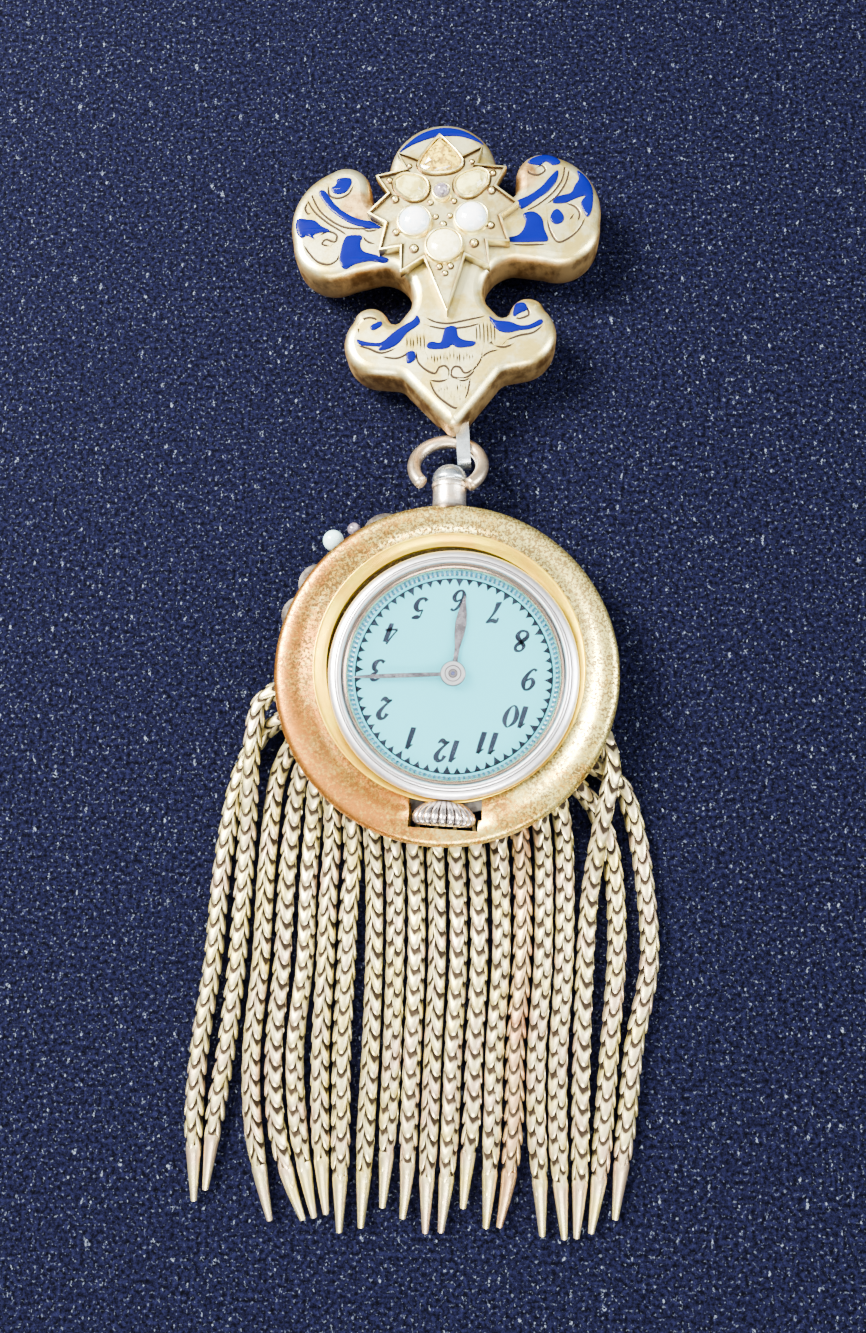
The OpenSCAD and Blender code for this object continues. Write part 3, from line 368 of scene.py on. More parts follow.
# %% Routes of the chains
# Direction of the hook on the half ring, then points on the floor in
# millimetres: x, y and how far the chain is lifted by one under it
FRINGE = [
    [194, [[-14.7, -7.9, 0], [-16.6, -12, 0], [-17.8, -19.5, 0], [-18.35, -27.5, 0],
           [-19.25, -34.6, 0], [-19.55, -40.3, 0], [-19.3, -47.2, 0]]],
    [184, [[-14.4, -5.2, 1.8], [-15, -9, 1.8], [-15.3, -13, 1.1], [-15.7, -18, 0],
           [-16.2, -27.5, 0], [-16.9, -34.6, 0], [-17.7, -40.3, 0], [-18.35, -46.3, 0]]],
    [203, [[-13.1, -12, 0], [-13.8, -19.5, 0], [-14.1, -27.5, 0], [-14.7, -34.6, 0],
           [-14.5, -40.3, 0], [-13.6, -45.2, 0], [-12.75, -48.6, 0]]],
    [211, [[-11.4, -14, 0], [-11.95, -20.5, 0], [-12.2, -27.5, 0], [-12.75, -34.6, 0],
           [-12.5, -40.3, 0], [-11.3, -45.1, 0], [-9.95, -48.5, 0]]],
    [219, [[-9.7, -15.5, 0], [-10.05, -21, 0], [-10.2, -27.5, 0], [-10.9, -34.6, 0],
           [-10.6, -40.3, 0], [-9.75, -45.1, 0], [-9, -48.3, 0]]],
    [227, [[-7.95, -17, 0], [-8.25, -22, 0], [-8.4, -27.5, 0], [-8.7, -34.5, 0],
           [-8.65, -40.2, 0], [-8.35, -45.1, 0], [-8, -48, 0]]],
    [235.5, [[-6.1, -18.5, 0], [-6.4, -23, 0], [-6.55, -27.5, 0], [-6.85, -34.5, 0],
             [-6.85, -40.2, 0], [-6.85, -45.1, 0], [-6.85, -49.4, 0]]],
    [243.5, [[-4.2, -20, 0], [-4.15, -27.4, 0], [-4.35, -34.5, 0], [-4.65, -40.2, 0],
             [-4.85, -45, 0], [-5.05, -49, 0]]],
    [251.5, [[-2.3, -21, 0], [-2.3, -27.4, 0], [-2.5, -34.5, 0], [-2.75, -40.1, 0],
             [-2.95, -43.6, 0], [-3.25, -47.4, 0]]],
    [259, [[-0.45, -21.5, 0], [-0.45, -27.4, 0], [-0.75, -34.4, 0], [-1, -40.1, 0],
           [-1.2, -44.9, 0], [-1.55, -48.2, 0]]],
    [266, [[1.35, -22, 0], [1.35, -27.4, 0], [1, -34.4, 0], [0.75, -40.1, 0],
           [0.5, -44.9, 0], [0.35, -49.3, 0]]],
    [273, [[3.2, -22, 0], [3.2, -27.4, 0], [2.75, -34.4, 0], [2.5, -40, 0],
           [2.15, -44.9, 0], [1.65, -49.2, 0]]],
    [280, [[5, -22, 0], [5, -27.4, 0], [4.55, -34.4, 0], [4.3, -40, 0],
           [3.9, -43.6, 0], [3.5, -47.3, 0]]],
    [287.5, [[6.95, -21.5, 0], [6.9, -27.3, 0], [6.3, -34.4, 0], [6.05, -40, 0],
             [5.75, -44.8, 0], [5.4, -48.8, 0]]],
    [295, [[8.85, -20.5, 0], [8.7, -27.3, 0], [8.05, -34.3, 0], [7.85, -40, 0],
           [7.35, -44.8, 0], [6.5, -48.7, 0]]],
    [303, [[10.7, -19, 0], [10.5, -27.3, 0], [9.85, -34.3, 0], [9.7, -39.9, 0],
           [9.9, -44.7, 0], [10.05, -49.3, 0]]],
    [311, [[12.55, -18, 0], [12.3, -27.3, 0], [11.7, -34.3, 0], [11.5, -39.9, 0],
           [11.6, -44.7, 0], [11.85, -49.5, 0]]],
    [338, [[16.55, -11, 2.6], [15.9, -14.4, 2.2], [15.2, -18, 1.2], [14.6, -22, 0],
           [14.1, -27.3, 0], [13.65, -34.3, 0], [13.4, -39.9, 0], [13.25, -44.7, 0],
           [12.85, -49.4, 0]]],
    [319.5, [[15.2, -14.3, 0], [16.4, -17.5, 0], [16.85, -22, 0], [16.75, -27.3, 0],
             [16, -34.2, 0], [15.4, -39.8, 0], [14.85, -44.6, 0], [14.05, -49, 0]]],
    [328, [[17.4, -12.2, 0], [18.5, -15, 0], [19.3, -20, 0], [19.55, -27.3, 0],
           [18.05, -34.2, 0], [17.3, -39.8, 0], [16.55, -44.6, 0], [16.05, -47.9, 0]]],
]
# Radius of a chain, the length over which its end tapers, and the radius of its tip
CHAIN_R = 0.83 * MM
TAPER = 6 * MM
TIP_R = 0.26 * MM
# The half ring that carries the chains, and the wire loop of each chain on it
BAR_R, BAR_Z = 13.85 * MM, 2.3 * MM
HOOK_R, HOOK_WIRE = 0.52 * MM, 0.17 * MM
print("chains:", len(FRINGE))

# %% [markdown]
# A fallen chain bends softly from point to point, so its line is a smooth curve
# through the few chosen points. To lay scales round it, each place on the line
# also needs a side and an up direction. With those, a length, an angle and a
# radius give a point, as on a straight cylinder.

# %% A line that carries its own directions


def spline(a, b, c, d, t):
    """A point between b and c on the smooth curve through all four, at t from 0 to 1."""
    return (2 * b + (c - a) * t + (2 * a - 5 * b + 4 * c - d) * t * t + (3 * b - a - 3 * c + d) * t ** 3) / 2


class Line:
    """A smooth line through a few points, with a side and an up direction all along it."""

    def __init__(self, points, per_span=24, up=(0, 0, 1)):
        ends = [points[0]] + list(points) + [points[-1]]
        run = [np.array(spline(*ends[i:i + 4], k / per_span))
               for i in range(len(points) - 1) for k in range(per_span)] + [np.array(points[-1])]
        self.at = np.array(run)
        steps = np.linalg.norm(np.diff(self.at, axis=0), axis=1)
        self.run = np.concatenate(([0], np.cumsum(steps)))
        self.length = self.run[-1]
        ahead = np.gradient(self.at, axis=0)
        self.ahead = ahead / np.linalg.norm(ahead, axis=1)[:, None]
        side = np.cross(self.ahead, np.array(up, float))
        self.side = side / np.linalg.norm(side, axis=1)[:, None]
        self.up = np.cross(self.side, self.ahead)

    def place(self, s, angle, radius):
        """Points at a distance along, an angle round and a radius out from the line."""
        def pick(rows):
            return np.stack([np.interp(s, self.run, rows[:, k]) for k in range(3)], axis=-1)
        out = pick(self.side) * np.cos(angle)[..., None] + pick(self.up) * np.sin(angle)[..., None]
        return pick(self.at) + out * radius[..., None]


print("a line's place() turns length, angle and radius into points")

# %% [markdown]
# Nearly every piece here is rings of points joined into bands: a tube round a line, a profile turned on a
# lathe, or outlines stacked upwards. One class collects such bands into a mesh. It also keeps how deep each
# point lies, which the metals read to darken their crevices, as painted shade in the chains, the star and the
# crown and as dirt in the brooch's cuts, and hands the piece to the frame.

# %% Meshes from rings


def ring_faces(rings, sides, closed=False):
    """Faces between rings that follow one another, and back to the first where closed."""
    faces = []
    for r in range(rings if closed else rings - 1):
        here, there = r * sides, (r + 1) % rings * sides
        faces += [(here + i, here + (i + 1) % sides, there + (i + 1) % sides, there + i)
                  for i in range(sides)]
    return faces


class Build:
    """Collects points, faces and a value for how deep a point lies in a crevice."""

    def __init__(self):
        self.points, self.faces, self.depth = [], [], []
        # Number of the first face from which shading is flat
        self.flat_from = None

    def add(self, points, faces, depth=0.0):
        start = len(self.points)
        points = np.asarray(points, float).reshape(-1, 3)
        self.points.extend(points.tolist())
        self.faces.extend([tuple(start + i for i in face) for face in faces])
        values = np.asarray(depth, float).ravel() if np.ndim(depth) else depth
        self.depth.extend(np.broadcast_to(values, len(points)).tolist())

    def tube(self, line, stops, radii, sides, depth):
        """A closed tube round a line, with a ring at each stop."""
        stops, radii = np.asarray(stops, float), np.asarray(radii, float)
        angles = np.arange(sides) * 2 * math.pi / sides
        s, a = np.meshgrid(stops, angles, indexing="ij")
        r = np.repeat(radii[:, None], sides, axis=1)
        faces = ring_faces(len(stops), sides)
        last = (len(stops) - 1) * sides
        faces += [tuple(range(sides))[::-1], tuple(last + j for j in range(sides))]
        self.add(line.place(s, a, r), faces, depth)

    def lathe(self, profile, center, sides, depth=None):
        """A closed profile of radius and height, turned round a vertical axis."""
        count = len(profile)
        angles = [2 * math.pi * k / sides for k in range(sides)]
        points = [(center[0] + r * math.cos(a), center[1] + r * math.sin(a), z)
                  for a in angles for r, z in profile]
        faces = []
        for k in range(sides):
            here, there = k * count, (k + 1) % sides * count
            faces += [(here + i, there + i, there + (i + 1) % count, here + (i + 1) % count)
                      for i in range(count)]
        self.add(points, faces, 0.0 if depth is None else list(depth) * sides)

    def stack(self, rings, depth=None, flat=True):
        """Closed rings of equal count joined one after the other, with both ends filled.

        An end of any outline is flat and cut into triangles. Others are one face: round or
        tilted ends, and ones so small that cutting them would leave empty triangles."""
        n = len(rings[0])
        faces = ring_faces(len(rings), n)
        for first, flip in ((0, True), ((len(rings) - 1) * n, False)):
            ring = [Vector((*p[:2], 0)) for p in rings[0 if flip else -1]]
            cap = tessellate_polygon([ring]) if flat else [tuple(range(n))]
            faces += [tuple(first + i for i in (face[::-1] if flip else face)) for face in cap]
        values = 0.0 if depth is None else [v for v in depth for _ in range(n)]
        self.add([p for ring in rings for p in ring], faces, values)

    def finish(self, name, material, smooth=True, body="root", node=None, sharp=None):
        """Makes the mesh, and tells the frame its body and the node it replaces."""
        mesh = bpy.data.meshes.new(name)
        mesh.from_pydata(self.points, [], self.faces)
        mesh.materials.append(material)
        mesh.polygons.foreach_set("use_smooth", [smooth] * len(mesh.polygons))
        layer = mesh.attributes.new("depth", "FLOAT", "POINT")
        layer.data.foreach_set("value", self.depth)
        if sharp is not None:
            mesh.set_sharp_from_angle(angle=math.radians(sharp))
        if self.flat_from is not None:
            soft = self.flat_from
            mesh.polygons.foreach_set("use_smooth", [i < soft for i in range(len(mesh.polygons))])
        piece = bpy.data.objects.new(name, mesh)
        bpy.context.scene.collection.objects.link(piece)
        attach(piece, body)
        if node:
            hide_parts(*([node] if isinstance(node, str) else node))
        return piece


print("pieces are built from rings, tubes and lathed profiles")

# %% [markdown]
# A petal is a patch of a cylinder. Its radius grows towards its lower lip, the lip is a U, and a skirt turns
# in from its edge to the chain's core, so each petal is a closed shell. Its depth value is painted shade: 1
# where it hides under the petal before it, fading towards its lip, and dark at its sides and in its pit. It
# later darkens the metal there.

# %% Petals of a foxtail chain
# Length of chain from one link to the next
PITCH = 1.7 * MM
# Rows of a petal from its root to its lip: shares of its length and reach, and painted shade
LIP_ROWS = [(0.0, 0.62, 1.0), (0.31, 0.74, 1.0), (0.39, 0.82, 1.0), (0.47, 0.89, 0.3),
            (0.6, 0.94, 0.1), (0.8, 1.0, 0.0), (0.94, 1.0, 0.0), (1.0, 0.92, 0.35)]
# Places across a petal, as shares of half its angle
PETAL_COLUMNS = (-1, -0.88, -0.5, -0.2, 0, 0.2, 0.5, 0.88, 1)
# Depth of the lip's U, and the core's radius as a share of the chain's
U_DEPTH = 1.05 * PITCH
CORE = 0.62
# The small pit between two petals: its place and size along, its width and its depth
PIT_AT, PIT_LENGTH, PIT_WIDTH, PIT_DEPTH = 0.44, 0.09, 0.22, 0.16


def add_petal(build, line, start, length, angle, half_angle, reach, grow, skew, pit=0.0):
    """One scale of a chain, from start to its lip, centred on an angle round the line."""
    v = np.array(PETAL_COLUMNS, float)
    drop = U_DEPTH * (1 - np.sqrt(1 - 0.96 * v * v)) - skew * PITCH * v
    s, a, r, depth = [], [], [], []
    for u, radius, dark in LIP_ROWS:
        s.append(start + u * length - drop)
        a.append(angle + half_angle * v)
        edge = 1 - 0.1 * v ** 4
        hollow = pit * math.exp(-((u - PIT_AT) / PIT_LENGTH) ** 2) * np.exp(-(v / PIT_WIDTH) ** 2)
        r.append(reach * grow(start + u * length) * radius * edge * (1 - PIT_DEPTH * hollow))
        # Painted shade: dark at the root under the petal before, in the pit and in the slits at the sides
        crevice = np.clip((0.37 + 0.3 * v * v - u) / 0.08 + 1, 0, 1)
        depth.append(np.clip(np.maximum(dark, crevice) + 1.2 * hollow + 0.9 * (np.abs(v) > 0.95), 0, 1))
    rows, cols = len(LIP_ROWS), len(PETAL_COLUMNS)
    s, a, r, depth = (np.array(x) for x in (s, a, r, depth))
    rim = ([(0, j) for j in range(cols)] + [(i, cols - 1) for i in range(1, rows)]
           + [(rows - 1, j) for j in range(cols - 2, -1, -1)] + [(i, 0) for i in range(rows - 2, 0, -1)])
    rim_s = np.array([s[i, j] for i, j in rim]) - 0.02 * length
    rim_a = np.array([angle + 0.93 * (a[i, j] - angle) for i, j in rim])
    rim_r = np.array([CORE * reach * grow(start) for _ in rim])
    points = np.concatenate([line.place(s, a, r).reshape(-1, 3), line.place(rim_s, rim_a, rim_r)])
    faces = [(i * cols + j, i * cols + j + 1, (i + 1) * cols + j + 1, (i + 1) * cols + j)
             for i in range(rows - 1) for j in range(cols - 1)]
    base, count = rows * cols, len(rim)
    for k, (i, j) in enumerate(rim):
        i2, j2 = rim[(k + 1) % count]
        faces.append((i2 * cols + j2, i * cols + j, base + k, base + (k + 1) % count))
    faces.append(tuple(base + k for k in range(count)))
    build.add(points, faces, np.concatenate([depth.ravel(), np.ones(count)]))


print("points in a petal:", len(LIP_ROWS) * len(PETAL_COLUMNS))

# %% [markdown]
# Behind the fob's rim the chains hang from a half ring, each by a small wire
# loop. From there a chain drops over the edge to the cloth and lies as it fell.
# Its line starts at the ring's radius and height, so it leaves the rim where the
# photograph shows it, and then follows its route on the floor.

# %% Line and hook of a chain


def chain_line(hook_angle, route):
    """The chain's line: out of the half ring, down to the floor and along its route."""
    angle = math.radians(hook_angle)
    out = Vector((math.cos(angle), math.sin(angle), 0))
    rise = 0.6 * MM if route[0][2] > 0 else 0
    near = FOB_AT + out * (BAR_R + 0.5 * MM) + Vector((0, 0, BAR_Z + 0.45 * MM + 0.5 * rise))
    start = FOB_AT + out * (BAR_R + 0.95 * MM) + Vector((0, 0, BAR_Z + 0.12 * MM + rise))
    floor = [Vector((x * MM, y * MM, CHAIN_R + lift * MM)) for x, y, lift in route]
    return Line([np.array(p) for p in [near, start] + floor])


def add_hook(build, hook_angle):
    """The wire loop that hangs the chain on the half ring."""
    angle = math.radians(hook_angle)
    out = np.array((math.cos(angle), math.sin(angle), 0))
    middle_at = np.array(FOB_AT) + out * BAR_R + np.array((0, 0, BAR_Z))
    ring = [middle_at + HOOK_R * (out * math.cos(t) + np.array((0, 0, math.sin(t))))
            for t in np.radians(np.linspace(-50, -300, 11))]
    line = Line(ring, 2, up=np.cross(out, (0, 0, 1)))
    stops = np.linspace(0, line.length, 18)
    # The hook's wire gets a little painted shade
    build.tube(line, stops, [HOOK_WIRE] * 18, 6, 0.3)


print("the first chain is", round(chain_line(*FRINGE[0]).length / MM, 1), "mm long")

# %% [markdown]
# The chains are thinly gilt and have lost their shine in the gaps. Their colour wanders between yellow, straw
# and pink. Painted shade darkens them where one petal dives under the next, and specks of brown dirt lie all
# over. One chain is rubbed down to its copper. The colour is a slow noise through a ramp, the mesh's own
# depth says where the painted shade goes, and a fine noise says where the specks go.

# %% Metal of the chains


def chain_metal(name, yellow, straw, pink):
    """Gilding in three tones, with painted shade between the petals and specks of brown dirt."""
    shader = Shader(name, metallic=0.93)
    tone = shader.noise(0.4, 3, 0.6)
    grain = shader.noise(6, 3)
    pale = shader.ramp(tone, (0.36, yellow), (0.5, straw), (0.64, pink))
    # Painted shade from the mesh's depth and specks of dirt from the grain darken and dull the gilding
    shade_and_dirt = (shader.depth() * 1.15 + (grain - 0.62).clamp() * 1.6).clamp()
    shader.put("Base Color", shader.mix(shade_and_dirt, pale, (0.03, 0.02, 0.012)))
    shader.put("Roughness", (0.26 + shade_and_dirt * 0.4 + grain * 0.12).clamp(0.1, 0.9))
    shader.bump(grain, 0.25, 0.03)
    return shader.material


CHAIN_METAL = chain_metal("chain_gold", (0.92, 0.77, 0.25), (0.92, 0.82, 0.44), (0.86, 0.63, 0.40))
WORN_CHAIN = chain_metal("chain_copper", (0.76, 0.54, 0.22), (0.76, 0.50, 0.25), (0.68, 0.34, 0.16))
print("chain metals:", CHAIN_METAL.name, WORN_CHAIN.name)

# %% [markdown]
# In a foxtail chain two rows of links lie crosswise, so two wide petals face
# up and down and two narrower ones show at the sides, half a link later. The
# end is a plain drawn point. The lengths and tilts of the links vary a little,
# as hand-woven ones do. Every chain is one mesh, built link by link on its line.

# %% Chains
# Length, half the angle and reach of the wide petals and of the ones between
WIDE_LENGTH, WIDE_ANGLE, WIDE_REACH = 1.36 * PITCH, 0.95, 1.0
SIDE_LENGTH, SIDE_ANGLE, SIDE_REACH = 1.34 * PITCH, 0.8, 0.94
# How far a petal leans to one side, and how much that and the lengths vary
LEAN, LEAN_SPREAD, LENGTH_SPREAD = 0.16, 0.05, 0.03
# Number of the chain that is rubbed down to the copper
WORN_NUMBER = 15


def make_chain(index, material):
    """One chain of the fringe, with its hook, its woven body and its point."""
    hook_angle, route = FRINGE[index]
    line = chain_line(hook_angle, route)
    draw = random.Random(index + 11)
    roll = draw.uniform(0, math.pi)
    twist = draw.uniform(-0.5, 0.5) / line.length
    body_end = line.length - TAPER
    woven_end = body_end + 0.25 * TAPER

    def grow(s):
        """The chain's radius at a distance along it."""
        start_part = min(1, 0.55 + 0.45 * s / (1.2 * MM))
        end_part = min(1, max(0, (line.length - s) / TAPER))
        return CHAIN_R * start_part * (TIP_R / CHAIN_R + (1 - TIP_R / CHAIN_R) * end_part)

    build = Build()
    s = -0.4 * PITCH
    while s < woven_end:
        turn = roll + twist * s
        stretch = 1 + draw.uniform(-LENGTH_SPREAD, LENGTH_SPREAD)
        for half in (0, math.pi):
            skew = draw.uniform(-LEAN_SPREAD, LEAN_SPREAD) + LEAN
            add_petal(build, line, s + 0.5 * PITCH, SIDE_LENGTH * stretch, turn + half,
                      SIDE_ANGLE, SIDE_REACH, grow, -skew)
            add_petal(build, line, s, WIDE_LENGTH * stretch, turn + half + math.pi / 2,
                      WIDE_ANGLE, WIDE_REACH, grow, skew, 1.0)
        s += PITCH
    stops = np.linspace(0, body_end, 40)
    # The chain's core between the petals gets full painted shade
    build.tube(line, stops, [CORE * grow(v) for v in stops], 8, 1.0)
    tip = np.linspace(woven_end, line.length, 14)
    radii = [grow(v) * (0.985 + 0.02 * draw.random()) for v in tip]
    radii[0] *= 0.9
    build.tube(line, np.append(tip, line.length + 0.05 * MM), radii + [radii[-1] * 0.55], 12, 0.0)
    add_hook(build, hook_angle)
    name = f"foxtail_{index + 1:02d}"
    return build.finish(name, material, node=f"chain_{index + 1:02d}", sharp=42)


foxtails = []
for index in range(len(FRINGE)):
    worn = index + 1 == WORN_NUMBER
    foxtails.append(make_chain(index, WORN_CHAIN if worn else CHAIN_METAL))
print("chain faces:", sum(len(o.data.polygons) for o in foxtails))

# %% [markdown]
# ## Metals
# The pin is gilt brass that has been worn for a century, with steel and silver in the watch. High spots are
# rubbed bright and low spots are darker; in the star's hollows and between the ribs of the watch that dark is
# painted shade. Most of these metals differ only in tone, so one recipe makes them: a pale and a deep tone
# mixed by soft noise, specks, a roughness that varies, and dents.

# %% Metals of one recipe
DIRT = (0.1, 0.06, 0.03)


def metal(name, pale, deep, patch=0.25, shine=0.3, specks=0.0, dents=0.12):
    """A worn metal. Patches are in waves a millimetre, and specks darken it here and there."""
    shader = Shader(name, metallic=0.95)
    cloud = shader.noise(patch, 4, 0.6)
    grain = shader.noise(5, 3, 0.6)
    color = shader.mix(cloud.step(0.36, 0.64), deep, pale)
    spots = (grain - (0.75 - specks)).clamp() * 5
    color = shader.mix((spots * specks * 2.2).clamp(0, 0.85), color, DIRT)
    shader.put("Base Color", color)
    shader.put("Roughness", (shine + grain * 0.25 + spots * specks * 0.5 - 0.1).clamp(0.08, 0.9))
    shader.bump(shader.noise(2.2, 4) + grain * 0.5, dents, 0.05)
    return shader


def metal_with_hollows(name, pale, deep, dark, shine=0.3):
    """A metal whose hollows are darkened by the depth value of its points."""
    shader = metal(name, pale, deep, 0.9, shine, specks=0.14)
    color = shader.mix(shader.noise(0.9, 4, 0.6).step(0.36, 0.64), deep, pale)
    shader.put("Base Color", shader.mix((shader.depth() * 1.1).clamp(), color, dark))
    return shader.material


LINER = metal("yellow_gold", (0.98, 0.71, 0.01), (0.88, 0.50, 0.008), 0.3, 0.3, dents=0.08).material
# The star's dark tone is painted shade in its hollows
STAR_METAL = metal_with_hollows("star_gold", (0.97, 0.92, 0.48), (0.74, 0.58, 0.18), (0.07, 0.04, 0.02))
BOW_METAL = metal("bow_gold", (0.72, 0.60, 0.44), (0.50, 0.36, 0.22), 0.5, 0.3, specks=0.12).material
POST_METAL = metal_with_hollows("post_gold", (0.84, 0.78, 0.68), (0.70, 0.55, 0.40), (0.10, 0.06, 0.03), 0.28)
STEEL = metal("pale_steel", (0.60, 0.68, 0.74), (0.42, 0.47, 0.50), 0.6, 0.26, specks=0.1).material
SILVER = metal_with_hollows("case_silver", (0.97, 0.96, 0.98), (0.92, 0.91, 0.94), (0.12, 0.09, 0.09), 0.32)
# The ribbed ring's dark tone is painted shade between the ribs, tinted as a painted reflection of the blue
# dial
RIBBED = metal_with_hollows("rib_silver", (0.98, 0.99, 1.0), (0.94, 0.95, 0.98), (0.12, 0.30, 0.42), 0.25)
COPPER = metal("rehaut_copper", (0.88, 0.62, 0.42), (0.76, 0.48, 0.32), 0.5, 0.22).material
HAND_STEEL = metal("hand_steel", (0.40, 0.38, 0.42), (0.20, 0.18, 0.2), 1.4, 0.26, specks=0.1).material
FRONT_METAL = metal("front_gold", (0.34, 0.31, 0.27), (0.12, 0.10, 0.09), 0.9, 0.4, 0.2, 0.4).material
GOLDS, GREYS = (LINER, STAR_METAL, BOW_METAL, POST_METAL, FRONT_METAL), (STEEL, SILVER, RIBBED, HAND_STEEL)
print("metals of one recipe:", [each.name for each in GOLDS + GREYS + (COPPER,)])

# %% [markdown]
# The brooch's face is rubbed pale and its walls are brown gold, because a
# finger touches only the high parts. The direction of the surface tells the two
# apart, so the change follows the rolled shoulder by itself. Cuts hold black
# dirt. The fields of fine cuts look yellower, and two curls are rubbed brown.

# %% Metal of the brooch


def in_mm(x, y):
    """A place given in shares of half the brooch's width, as millimetres in the shared frame."""
    cos, sin = math.cos(BROOCH_TURN), math.sin(BROOCH_TURN)
    place_x = BROOCH_AT.x + HALF_W * (x * cos - y * sin)
    place_y = BROOCH_AT.y + HALF_W * (x * sin + y * cos)
    return place_x / MM, place_y / MM


# Curled ends of the wings where the gilding is rubbed brown, in millimetres
WORN_CURLS = [in_mm(0.50, 0.62), in_mm(-0.555, 0.475)]

# Middles of the fields of fine cuts, which look yellower
HATCHED_ZONES = [in_mm(-0.22, -0.48), in_mm(0.24, -0.46), in_mm(0, -0.6), in_mm(0, -0.86)]


def brooch_metal():
    """Pale on the face and brown-gold down the walls, with streaks, painted shade at the foot of the walls
    and filled grooves.
    """
    shader = Shader("brooch_gold", metallic=0.95)
    up = shader.split(shader.make("ShaderNodeNewGeometry", output="Normal"))[2]
    height = shader.split(shader.scaled(1))[2]
    cloud = shader.noise(0.4, 5, 0.65)
    grain = shader.noise(4.5, 3, 0.6)
    streak = shader.noise(0.55, 5, 0.65, (1, 1, 0.6))
    face = shader.mix(cloud.step(0.42, 0.62), (0.97, 0.93, 0.52), (0.78, 0.62, 0.16))
    wall = shader.mix(streak.step(0.36, 0.64), (0.20, 0.10, 0.03), (0.68, 0.45, 0.17))
    cuts = shader.noise(1.6, 2, 0.5, (3.2, 0.4, 1)).step(0.5, 0.6)
    for x, y in HATCHED_ZONES:
        zone = shader.near((x, y), 1.6, 2.2)
        face = shader.mix(zone * 0.8, face, (0.80, 0.65, 0.13))
        face = shader.mix(zone * cuts * 0.8, face, (0.26, 0.17, 0.05))
    level = up.step(0.35, 0.93)
    for x, y in WORN_CURLS:
        level = level * (1 - shader.near((x, y), 2.1, 0.9))
    color = shader.mix(level, wall, face)
    # Painted shade: the walls darken towards their foot near the cloth, broken up by the streaks
    foot = (1 - (height - 1.5) * 0.45).clamp() * streak.step(0.3, 0.6) * 0.75
    color = shader.mix(foot.clamp(), color, (0.20, 0.11, 0.05))
    ink = (shader.depth() * 2.8 + (grain - 0.66).clamp() * 2.0).clamp()
    shader.put("Base Color", shader.mix(ink, color, (0.045, 0.03, 0.02)))
    shader.put("Roughness", (0.36 - level * 0.12 + grain * 0.18 + ink * 0.3).clamp(0.1, 0.9))
    shader.bump(grain + streak * 0.4, 0.14, 0.03)
    return shader.material


BROOCH_METAL = brooch_metal()
print("brooch metal:", BROOCH_METAL.name)

# %% [markdown]
# The fob's plate is bare copper at the left, where a thumb has worn it, and
# greenish gold at the right, with brown specks all over. A slope from left to
# right, broken up by a coarse and a fine noise, runs through a ramp of four
# tones. One ramp keeps the tones in the order in which gilding wears away.

# %% Metal of the fob


def fob_metal():
    """Copper rubbed bare at the left, greenish gold at the right, brown specks all over, and painted shade
    low down.
    """
    shader = Shader("fob_gold", metallic=0.9)
    across, along, height = shader.split(shader.scaled(1))
    side = (across - FOB_AT.x / MM + (along - FOB_AT.y / MM) * 0.35) * 0.035 + 0.56
    cloud = shader.noise(0.22, 5, 0.62)
    fine = shader.noise(3.2, 4, 0.65)
    grain = shader.noise(4.5, 4, 0.7)
    mask = (side + (cloud - 0.5) * 1.9 + (fine - 0.5) * 1.7).clamp()
    color = shader.ramp(mask, (0.1, (0.54, 0.19, 0.02)), (0.38, (0.66, 0.35, 0.04)),
                        (0.6, (0.76, 0.56, 0.11)), (0.85, (0.85, 0.75, 0.24)))
    bare = (cloud - 0.53).clamp() * 3 * (1 - side).clamp()
    color = shader.mix(bare.clamp(0, 0.6), color, (0.68, 0.20, 0.07))
    heavy = (along - FOB_AT.y / MM).step(-9, 9) * 0.5 + side.clamp() * 0.5
    specks = grain.step(0.47, 0.54) * (shader.noise(0.4, 3).step(0.36, 0.56) * 0.4 + heavy * 0.6)
    color = shader.mix((specks * 1.5).clamp(0, 0.92), color, (0.09, 0.045, 0.012))
    color = shader.mix((along - 12.5).clamp(), color, (0.86, 0.74, 0.62))
    # Painted shade: the plate darkens towards its low edge
    low = (1 - (height - 2.2) * 0.6).clamp() * 0.7
    shader.put("Base Color", shader.mix(low, color, (0.09, 0.05, 0.025)))
    shader.put("Roughness", (0.18 + fine * 0.18 + specks * 0.25).clamp(0.12, 0.9))
    shader.bump(shader.noise(1.4, 5, 0.65) + grain * 0.45, 0.2, 0.05)
    return shader.material


FOB_METAL = fob_metal()
print("fob metal:", FOB_METAL.name)

# %% [markdown]
# Enamel is glass on metal: a deep even blue under a clear, bright surface. The
# stones are milky, cream or pale glass, one is set over yellow foil, and the
# pearls have a soft sheen. The dial is pale blue paint.

# %% Glass, stones, enamel and paint


def enamel_glass():
    """Two close blues, a clear coat and the faint waves of fired glass."""
    shader = Shader("cobalt_enamel", roughness=0.3, Coat_Weight=0.1, Coat_Roughness=0.04,
                    Specular_IOR_Level=0.05)
    cloud = shader.noise(0.5, 3)
    shader.put("Base Color", shader.mix(cloud, (0.0, 0.0004, 0.06), (0.0, 0.0009, 0.11)))
    shader.bump(shader.noise(0.9, 3), 0.12, 0.08)
    return shader.material


def stone(name, main, second, per_mm, roughness=0.12, transmission=0.0, specks=0.0):
    """Clear to milky stone, clouded with a second colour, with dark specks where asked."""
    shader = Shader(name, roughness=roughness, Coat_Weight=0.8, Coat_Roughness=0.04)
    shader.put("Transmission Weight", transmission)
    cloud = shader.noise(per_mm, 3, 0.6)
    color = shader.mix(cloud.step(0.42, 0.62), main, second)
    if specks:
        dark = (shader.noise(3.4, 3, 0.6) - 0.54).clamp() * 12 * specks
        color = shader.mix(dark.clamp(0, 0.9), color, (0.09, 0.055, 0.01))
    shader.put("Base Color", color)
    return shader.material


def glass():
    shader = Shader("watch_glass", (0.96, 0.98, 1.0), roughness=0.02)
    shader.put("Transmission Weight", 1.0)
    shader.put("IOR", 1.05)
    return shader.material


